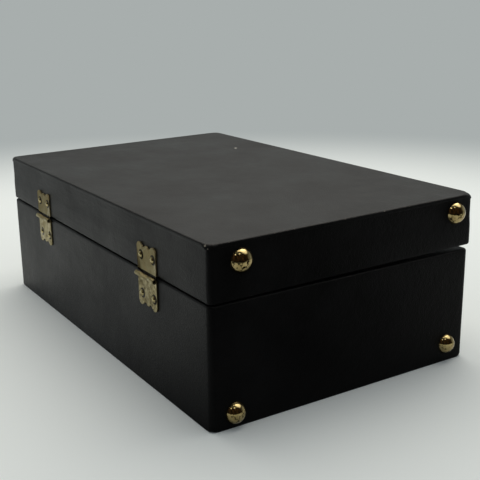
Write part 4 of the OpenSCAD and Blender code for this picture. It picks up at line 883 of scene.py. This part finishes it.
# Linings
# Wine-red wool felt, glued over the floor and walls of the base and of the lid, and turned up to the covering's edge.
# It is soft at every corner, and its nap lies a little differently from place to place.
def wool_felt(name, dark, light):
    """Pressed wool: a matt surface of matted fibres, clouded where the nap was brushed, with a pale fuzz at its edges."""
    made = bpy.data.materials.new(name)
    made.use_nodes = True
    tree = made.node_tree
    tree.nodes.clear()
    place = add(tree, "ShaderNodeTexCoord").outputs["Object"]
    hair = add(tree, "ShaderNodeTexNoise", {"Vector": place, "Scale": 1 / (0.5 * mm), "Detail": 5.0, "Roughness": 0.7,
                                            "Distortion": 1.5}).outputs["Fac"]
    tuft = add(tree, "ShaderNodeTexNoise", {"Vector": place, "Scale": 1 / (3 * mm), "Detail": 3.0}).outputs["Fac"]
    nap = add(tree, "ShaderNodeTexNoise", {"Vector": place, "Scale": 1 / (45 * mm), "Detail": 2.0}).outputs["Fac"]
    mixed = add(tree, "ShaderNodeMath", {0: hair, 1: nap}, operation="ADD").outputs[0]
    mixed = add(tree, "ShaderNodeMapRange", {"Value": mixed, "From Min": 0.7, "From Max": 1.3}).outputs[0]
    wool = add(tree, "ShaderNodeMix", {"Factor": mixed, "A": linear(dark), "B": linear(light)}, data_type="RGBA")
    relief = add(tree, "ShaderNodeMath", {0: tuft, 1: hair}, operation="ADD").outputs[0]
    bump = add(tree, "ShaderNodeBump", {"Height": relief, "Strength": 0.6, "Distance": 0.3 * mm})
    felt = add(tree, "ShaderNodeBsdfPrincipled", {"Base Color": wool.outputs["Result"], "Roughness": 0.95,
                                                  "Specular IOR Level": 0.1, "Sheen Weight": 0.35,
                                                  "Sheen Roughness": 0.5, "Sheen Tint": linear("#C86A6A"),
                                                  "Normal": bump.outputs[0]})
    add(tree, "ShaderNodeOutputMaterial", {"Surface": felt.outputs[0]})
    return made


felt = wool_felt("wine_felt", "#3E0A0E", "#6E1219")
lining_t = 0.9 * mm
panel_t = 4 * mm
fold_in = 1.6 * mm


def padded_in(point, way, corner, out, up):
    """The felt stands a hair proud between the places where glue holds it down."""
    if out is None or out < -0.3 * mm:
        point = point + Vector((0, 0, 1)) * felt_side * 0.25 * mm * hills(point, 24 * mm)
    return point


def tray(length, width, rim, floor, side):
    """A felt tray's outline: down outside from the rim, in below the floor, and back up inside with a soft fold."""
    back = [(0, floor - side * lining_t), (0, rim)]
    lip = [(-0.15 * mm, rim + side * 0.0), (-lining_t + 0.15 * mm, rim), (-lining_t, rim - side * 0.3 * mm)]
    turn = [(-lining_t - fold_in * (1 - cos(a)), floor + side * fold_in * (1 - sin(a)))
            for a in (radians(15 * k) for k in range(7))]
    return wrapped(ring_round(length, width, 0.8 * mm, 4, 6 * mm), back + lip + turn, padded_in, (1, 24))


in_l = case_l - 2 * (cover_t + board_t)
in_w = case_w - 2 * (cover_t + board_t)
felt_side = 1
base_felt = show("base_felt", *tray(in_l, in_w, base_h - turn_in, cover_t + panel_t + lining_t, 1), felt, "case_base", "felt")
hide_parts("base_lining")
lid_in_l = lid_l - 2 * (cover_t + band_t + board_t)
lid_in_w = lid_w - 2 * (cover_t + band_t + board_t)
lid_roof = lid_top - cover_t - panel_t - lining_t
felt_side = -1
lid_felt = show("lid_felt", *tray(lid_in_l, lid_in_w, lid_z + turn_in, lid_roof, -1), felt, "lid", "felt", lid_place)
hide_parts("lid_lining")

# Dividers and shelves
# Thin boards covered in the same felt, glued between the walls. The dividers are scooped at the handle end, so that
# fingers reach the bottles.
for node in ("divider_hinge_side", "divider_latch_side", "column_shelves"):
    softened(node, felt, 0.9 * mm, "case_base", 40)


# Bottle strap
# Two lengths of bridle leather, riveted to the side walls, skived at the edges and sewn along both of them. One lies
# over the other in the middle, where a brass snap joins them.
def bowed(points, radius, pace=4 * mm, steps=6):
    """A path with its corners rounded and its straight runs divided."""
    made = [Vector(points[0])]
    for before, at, after in zip(points, points[1:], points[2:]):
        before, at, after = Vector(before), Vector(at), Vector(after)
        back, on = (before - at).normalized(), (after - at).normalized()
        reach = radius / max(0.2, abs((back.angle(on, pi) and 1) * sin(back.angle(on) / 2) / cos(back.angle(on) / 2)))
        start, end = at + back * reach, at + on * reach
        for k in range(steps + 1):
            t = k / steps
            made.append(start * (1 - t) ** 2 + at * 2 * t * (1 - t) + end * t ** 2)
    made.append(Vector(points[-1]))
    path = [made[0]]
    for here, onward in zip(made, made[1:]):
        parts = max(1, round((onward - here).length / pace))
        path += [here.lerp(onward, p / parts) for p in range(1, parts + 1)]
    return path


def strip(path, across, width, thick, edge=0.35, round_end=0.0, crown=0.0, ribs=0):
    """A flat strap along a path: its faces, and each point's place along and across it. Its edges are rounded, its far
    end may be round, and its middle may stand a little proud."""
    across = Vector(across).normalized()
    steps = 12
    section = [(-1 + 2 * k / steps, 0.5) for k in range(steps + 1)]
    section = [(u, h + crown * (1 - u * u) / thick) for u, h in section]
    points, faces, along = [], [], []
    run = [0.0]
    for here, onward in zip(path, path[1:]):
        run.append(run[-1] + (onward - here).length)
    total = run[-1]
    for k, at in enumerate(path):
        ahead = (path[min(k + 1, len(path) - 1)] - path[max(k - 1, 0)]).normalized()
        up = ahead.cross(across).normalized()
        left = total - run[k]
        slim = 1.0
        if round_end and left < round_end:
            slim = max(0.12, (1 - (1 - left / round_end) ** 2) ** 0.5)
        for side in (1, -1):
            for u, h in section if side > 0 else reversed(section):
                tight = edge if abs(u) > 0.999 else 1.0
                rib = 0.06 * mm * (1 if ribs and round(u * steps / 2) % 2 else 0)
                height = (h * tight * thick if side > 0 else -0.5 * tight * thick) + (rib if side > 0 else -rib)
                points.append(at + across * (u * width / 2 * slim) + up * height)
                along.append((run[k], u * width / 2))
    count = 2 * (steps + 1)
    for k in range(len(path) - 1):
        a, b = k * count, (k + 1) * count
        faces += [(a + i, a + (i + 1) % count, b + (i + 1) % count, b + i) for i in range(count)]
    last = (len(path) - 1) * count
    for i in range(steps):
        faces.append((i, i + 1, count - 2 - i, count - 1 - i))
        faces.append((last + i, last + i + 1, last + count - 2 - i, last + count - 1 - i))
    return points, faces, along


def beside(path, across, offset, lift):
    """A seam that runs along a strap, that far from its middle and above its face."""
    across = Vector(across).normalized()
    seam = []
    for k, at in enumerate(path):
        ahead = (path[min(k + 1, len(path) - 1)] - path[max(k - 1, 0)]).normalized()
        seam.append(at + across * offset + ahead.cross(across).normalized() * lift)
    return seam


strap_w = 22 * mm
strap_t = 1.6 * mm
strap_at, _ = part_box("strap_snap_cap")
strap_x = (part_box("strap_snap_cap")[0].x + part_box("strap_snap_cap")[1].x) / 2
wall_y = in_w / 2 - lining_t
tail_y = 17 * mm
tab_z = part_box("strap_hinge_half")[0].z
for side, node in ((1, "strap_hinge_half"), (-1, "strap_latch_half")):
    flat_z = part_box(node)[1].z - strap_t / 2
    route = bowed([(strap_x, side * (wall_y - strap_t / 2), tab_z), (strap_x, side * (wall_y - strap_t / 2), flat_z),
                   (strap_x, -side * tail_y, flat_z)], 3.5 * mm)
    points, faces, along = strip(route, (side, 0, 0), strap_w, strap_t, round_end=9 * mm)
    half = show(node + "_leather", points, faces, saddle_leather, "case_base", "strap_leather", sharp=60, along=along)
    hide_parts(node)
    rows = [beside(route[2:-3], (side, 0, 0), s * (strap_w / 2 - 2.4 * mm), strap_t / 2 + 0.02 * mm) for s in (1, -1)]
    stitched(node + "_stitches", rows, black_thread, "case_base")
softened("strap_snap_cap", handled_brass, 0.2 * mm, "case_base")
finish_nodes(handled_brass, "strap_rivets", "strap_snap_stud")


# Column bands
# Woven elastic over the barware in the middle column: rubber cores with a black braid, so fine ribs run along it.
# Each band is held to the dividers by a small rivet at each end.
def woven_elastic(name):
    """Braided elastic: ribs 1.3 mm apart along its length, crossed by a weft 0.6 mm apart, dull with a slight sheen.
    Its colour darkens in the hollows between ribs and weft, as painted shade.
    """
    made = bpy.data.materials.new(name)
    made.use_nodes = True
    tree = made.node_tree
    tree.nodes.clear()
    spot = add(tree, "ShaderNodeSeparateXYZ", {"Vector": add(tree, "ShaderNodeUVMap", uv_map="surface").outputs[0]})
    rib = add(tree, "ShaderNodeMath", {0: spot.outputs["Y"], 1: 2 * pi / (1.3 * mm)}, operation="MULTIPLY").outputs[0]
    rib = add(tree, "ShaderNodeMath", {0: rib}, operation="COSINE").outputs[0]
    weft = add(tree, "ShaderNodeMath", {0: spot.outputs["X"], 1: 2 * pi / (0.6 * mm)}, operation="MULTIPLY").outputs[0]
    weft = add(tree, "ShaderNodeMath", {0: weft}, operation="COSINE").outputs[0]
    relief = add(tree, "ShaderNodeMath", {0: weft, 1: 0.5, 2: rib}, operation="MULTIPLY_ADD").outputs[0]
    # Painted shade: the colour follows the weave's relief, darker in its hollows
    tone = add(tree, "ShaderNodeMapRange", {"Value": relief, "From Min": -1.5, "From Max": 1.5}).outputs[0]
    braid = add(tree, "ShaderNodeMix", {"Factor": tone, "A": linear("#0A0A0A"), "B": linear("#262422")}, data_type="RGBA")
    bump = add(tree, "ShaderNodeBump", {"Height": tone, "Strength": 0.7, "Distance": 0.2 * mm})
    band = add(tree, "ShaderNodeBsdfPrincipled", {"Base Color": braid.outputs["Result"], "Roughness": 0.75,
                                                  "Sheen Weight": 0.2, "Normal": bump.outputs[0]})
    add(tree, "ShaderNodeOutputMaterial", {"Surface": band.outputs[0]})
    return made


def joined(pieces):
    """Puts several strips into one list of points, faces and places."""
    points, faces, along = [], [], []
    for more_points, more_faces, more_along in pieces:
        faces += [tuple(i + len(points) for i in face) for face in more_faces]
        points += more_points
        along += more_along
    return points, faces, along


elastic = woven_elastic("black_elastic")
elastic_t = 0.8 * mm
band_w = 12 * mm
tab_h = 11 * mm
column_w = 54.4 * mm
floor_z = cover_t + panel_t + lining_t
shaker_d = 51 * mm
tumbler_d = 50 * mm
jigger_d = 42 * mm
strips = []
for x, d in ((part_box("shaker_body")[0].x + 60.04 * mm, shaker_d), (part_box("tumbler_1")[0].x + 20 * mm, tumbler_d),
             (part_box("jigger")[0].x + 18.5 * mm, jigger_d)):
    top = floor_z + 0.6 * mm + elastic_t + d
    side_y = column_w / 2 - elastic_t / 2
    route = bowed([(x, side_y, top - tab_h), (x, side_y, top - elastic_t / 2), (x, -side_y, top - elastic_t / 2),
                   (x, -side_y, top - tab_h)], 4 * mm, 3 * mm)
    strips.append(strip(route, (1, 0, 0), band_w, elastic_t, 0.6, ribs=1))
points, faces, along = joined(strips)
bands = show("column_elastic", points, faces, elastic, "case_base", "elastic", sharp=60, along=along)
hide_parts("column_bands")


# Barware
# Drawn and spun stainless steel, polished on a wheel: fine lines run round each piece, and the shine is a little
# clouded by fingers. The jigger is two cones soldered at the waist.
def spun_steel(name, roughness):
    """Polished stainless steel: bright, with a slight grey cloud and hair-fine lines about 0.4 mm apart round the axis."""
    made = bpy.data.materials.new(name)
    made.use_nodes = True
    tree = made.node_tree
    tree.nodes.clear()
    place = add(tree, "ShaderNodeTexCoord").outputs["Object"]
    lines = add(tree, "ShaderNodeMapping", {"Vector": place, "Scale": (1, 0.02, 0.02)}).outputs[0]
    lines = add(tree, "ShaderNodeTexNoise", {"Vector": lines, "Scale": 1 / (0.4 * mm), "Detail": 2.0}).outputs["Fac"]
    cloud = add(tree, "ShaderNodeTexNoise", {"Vector": place, "Scale": 1 / (15 * mm), "Detail": 4.0}).outputs["Fac"]
    cloud = add(tree, "ShaderNodeMapRange", {"Value": cloud, "From Min": 0.35, "From Max": 0.7}).outputs[0]
    steel = add(tree, "ShaderNodeMix", {"Factor": cloud, "A": linear("#C9CACC"), "B": linear("#B4B5B6")}, data_type="RGBA")
    bump = add(tree, "ShaderNodeBump", {"Height": lines, "Strength": 0.12, "Distance": 0.05 * mm})
    gloss = add(tree, "ShaderNodeMapRange", {"Value": cloud, "To Min": roughness, "To Max": roughness + 0.12}).outputs[0]
    metal = add(tree, "ShaderNodeBsdfPrincipled", {"Base Color": steel.outputs["Result"], "Metallic": 1.0,
                                                   "Roughness": gloss, "Normal": bump.outputs[0]})
    add(tree, "ShaderNodeOutputMaterial", {"Surface": metal.outputs[0]})
    return made


barware = spun_steel("polished_steel", 0.14)
for node in ("shaker_body", "shaker_top", "shaker_cap", "tumbler_1", "tumbler_2", "tumbler_3", "tumbler_4", "jigger"):
    softened(node, barware, 0.25 * mm, "case_base")


# Tool panel and loops
# A felt-covered board under the lid's top, with loops of elastic stitched down on both sides of each tool.
softened("tool_panel", felt, 0.9 * mm, "lid", 40)
loop_w = 14 * mm
foot_l = 6 * mm
lie_gap = 0.3 * mm
tool_z = lid_roof - 3 * mm
loop_strips, foot_seams = [], []


def tool_loop(x, y, inner_w, drop):
    """One loop: a foot, over the tool, and the other foot."""
    under = tool_z - elastic_t / 2
    side = inner_w / 2 + elastic_t / 2
    route = bowed([(x, y - side - foot_l, under), (x, y - side, under), (x, y - side, tool_z - drop - elastic_t / 2),
                   (x, y + side, tool_z - drop - elastic_t / 2), (x, y + side, under), (x, y + side + foot_l, under)],
                  min(1.2 * mm, drop / 3), 2 * mm, 4)
    loop_strips.append(strip(route, (-1, 0, 0), loop_w, elastic_t, 0.6, ribs=1))
    for s in (1, -1):
        for off in (1.8 * mm, 4.2 * mm):
            foot = y + s * (inner_w / 2 + off + elastic_t)
            foot_seams.append([on_lid @ Vector((x + k * loop_w / 12, foot, tool_z - elastic_t - 0.05 * mm))
                               for k in range(-5, 6)])


for x in (-50 * mm, 70 * mm):
    tool_loop(x, 74 * mm, 4.6 * mm, 4.6 * mm)
for x in (-104 * mm, -62 * mm):
    tool_loop(x, 38 * mm, 14.6 * mm, 3 * mm)
tool_loop(84 * mm, -4 * mm, 5.4 * mm, 10 * mm)
for x in (-17 * mm, 15 * mm):
    tool_loop(x, -56 * mm, 15.6 * mm, 1.8 * mm)
points, faces, along = joined(loop_strips)
loops = show("tool_elastic", points, faces, elastic, "lid", "elastic", on_lid, sharp=60, along=along)
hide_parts("tool_loops")
stitched("loop_stitches", foot_seams, black_thread, "lid", 2.2 * mm, 1.6 * mm, 0.22 * mm)


# Tools
# A twisted-stem spoon, an opener and a strainer cut from polished sheet steel, and a corkscrew whose wound steel worm
# is driven through a turned beech handle and riveted over a washer.
for node in ("bottle_opener", "strainer"):
    softened(node, barware, 0.25 * mm, "lid")
finish_nodes(barware, "bar_spoon", "corkscrew_worm")


def turned_wood(name):
    """Oiled beech, turned: long fibres along the handle, short dark rays 2 mm long, and a soft shine."""
    made = bpy.data.materials.new(name)
    made.use_nodes = True
    tree = made.node_tree
    tree.nodes.clear()
    place = add(tree, "ShaderNodeTexCoord").outputs["Object"]
    long_way = add(tree, "ShaderNodeMapping", {"Vector": place, "Scale": (1, 0.08, 1)}).outputs[0]
    fibre = add(tree, "ShaderNodeTexNoise", {"Vector": long_way, "Scale": 1 / (1.5 * mm), "Detail": 4.0}).outputs["Fac"]
    ray = add(tree, "ShaderNodeMapping", {"Vector": place, "Scale": (1, 0.2, 1)}).outputs[0]
    ray = add(tree, "ShaderNodeTexVoronoi", {"Vector": ray, "Scale": 1 / (0.5 * mm)}).outputs["Distance"]
    ray = add(tree, "ShaderNodeMapRange", {"Value": ray, "From Min": 0.1, "From Max": 0.25}).outputs[0]
    wood = add(tree, "ShaderNodeMix", {"Factor": fibre, "A": linear("#8C5A31"), "B": linear("#C08A55")}, data_type="RGBA")
    wood = add(tree, "ShaderNodeMix", {"Factor": ray, "A": linear("#6B4022"), "B": wood.outputs["Result"]},
               data_type="RGBA")
    bump = add(tree, "ShaderNodeBump", {"Height": fibre, "Strength": 0.15, "Distance": 0.1 * mm})
    beech = add(tree, "ShaderNodeBsdfPrincipled", {"Base Color": wood.outputs["Result"], "Roughness": 0.42,
                                                   "Normal": bump.outputs[0]})
    add(tree, "ShaderNodeOutputMaterial", {"Surface": beech.outputs[0]})
    return made


finish_nodes(turned_wood("oiled_beech"), "corkscrew_handle")
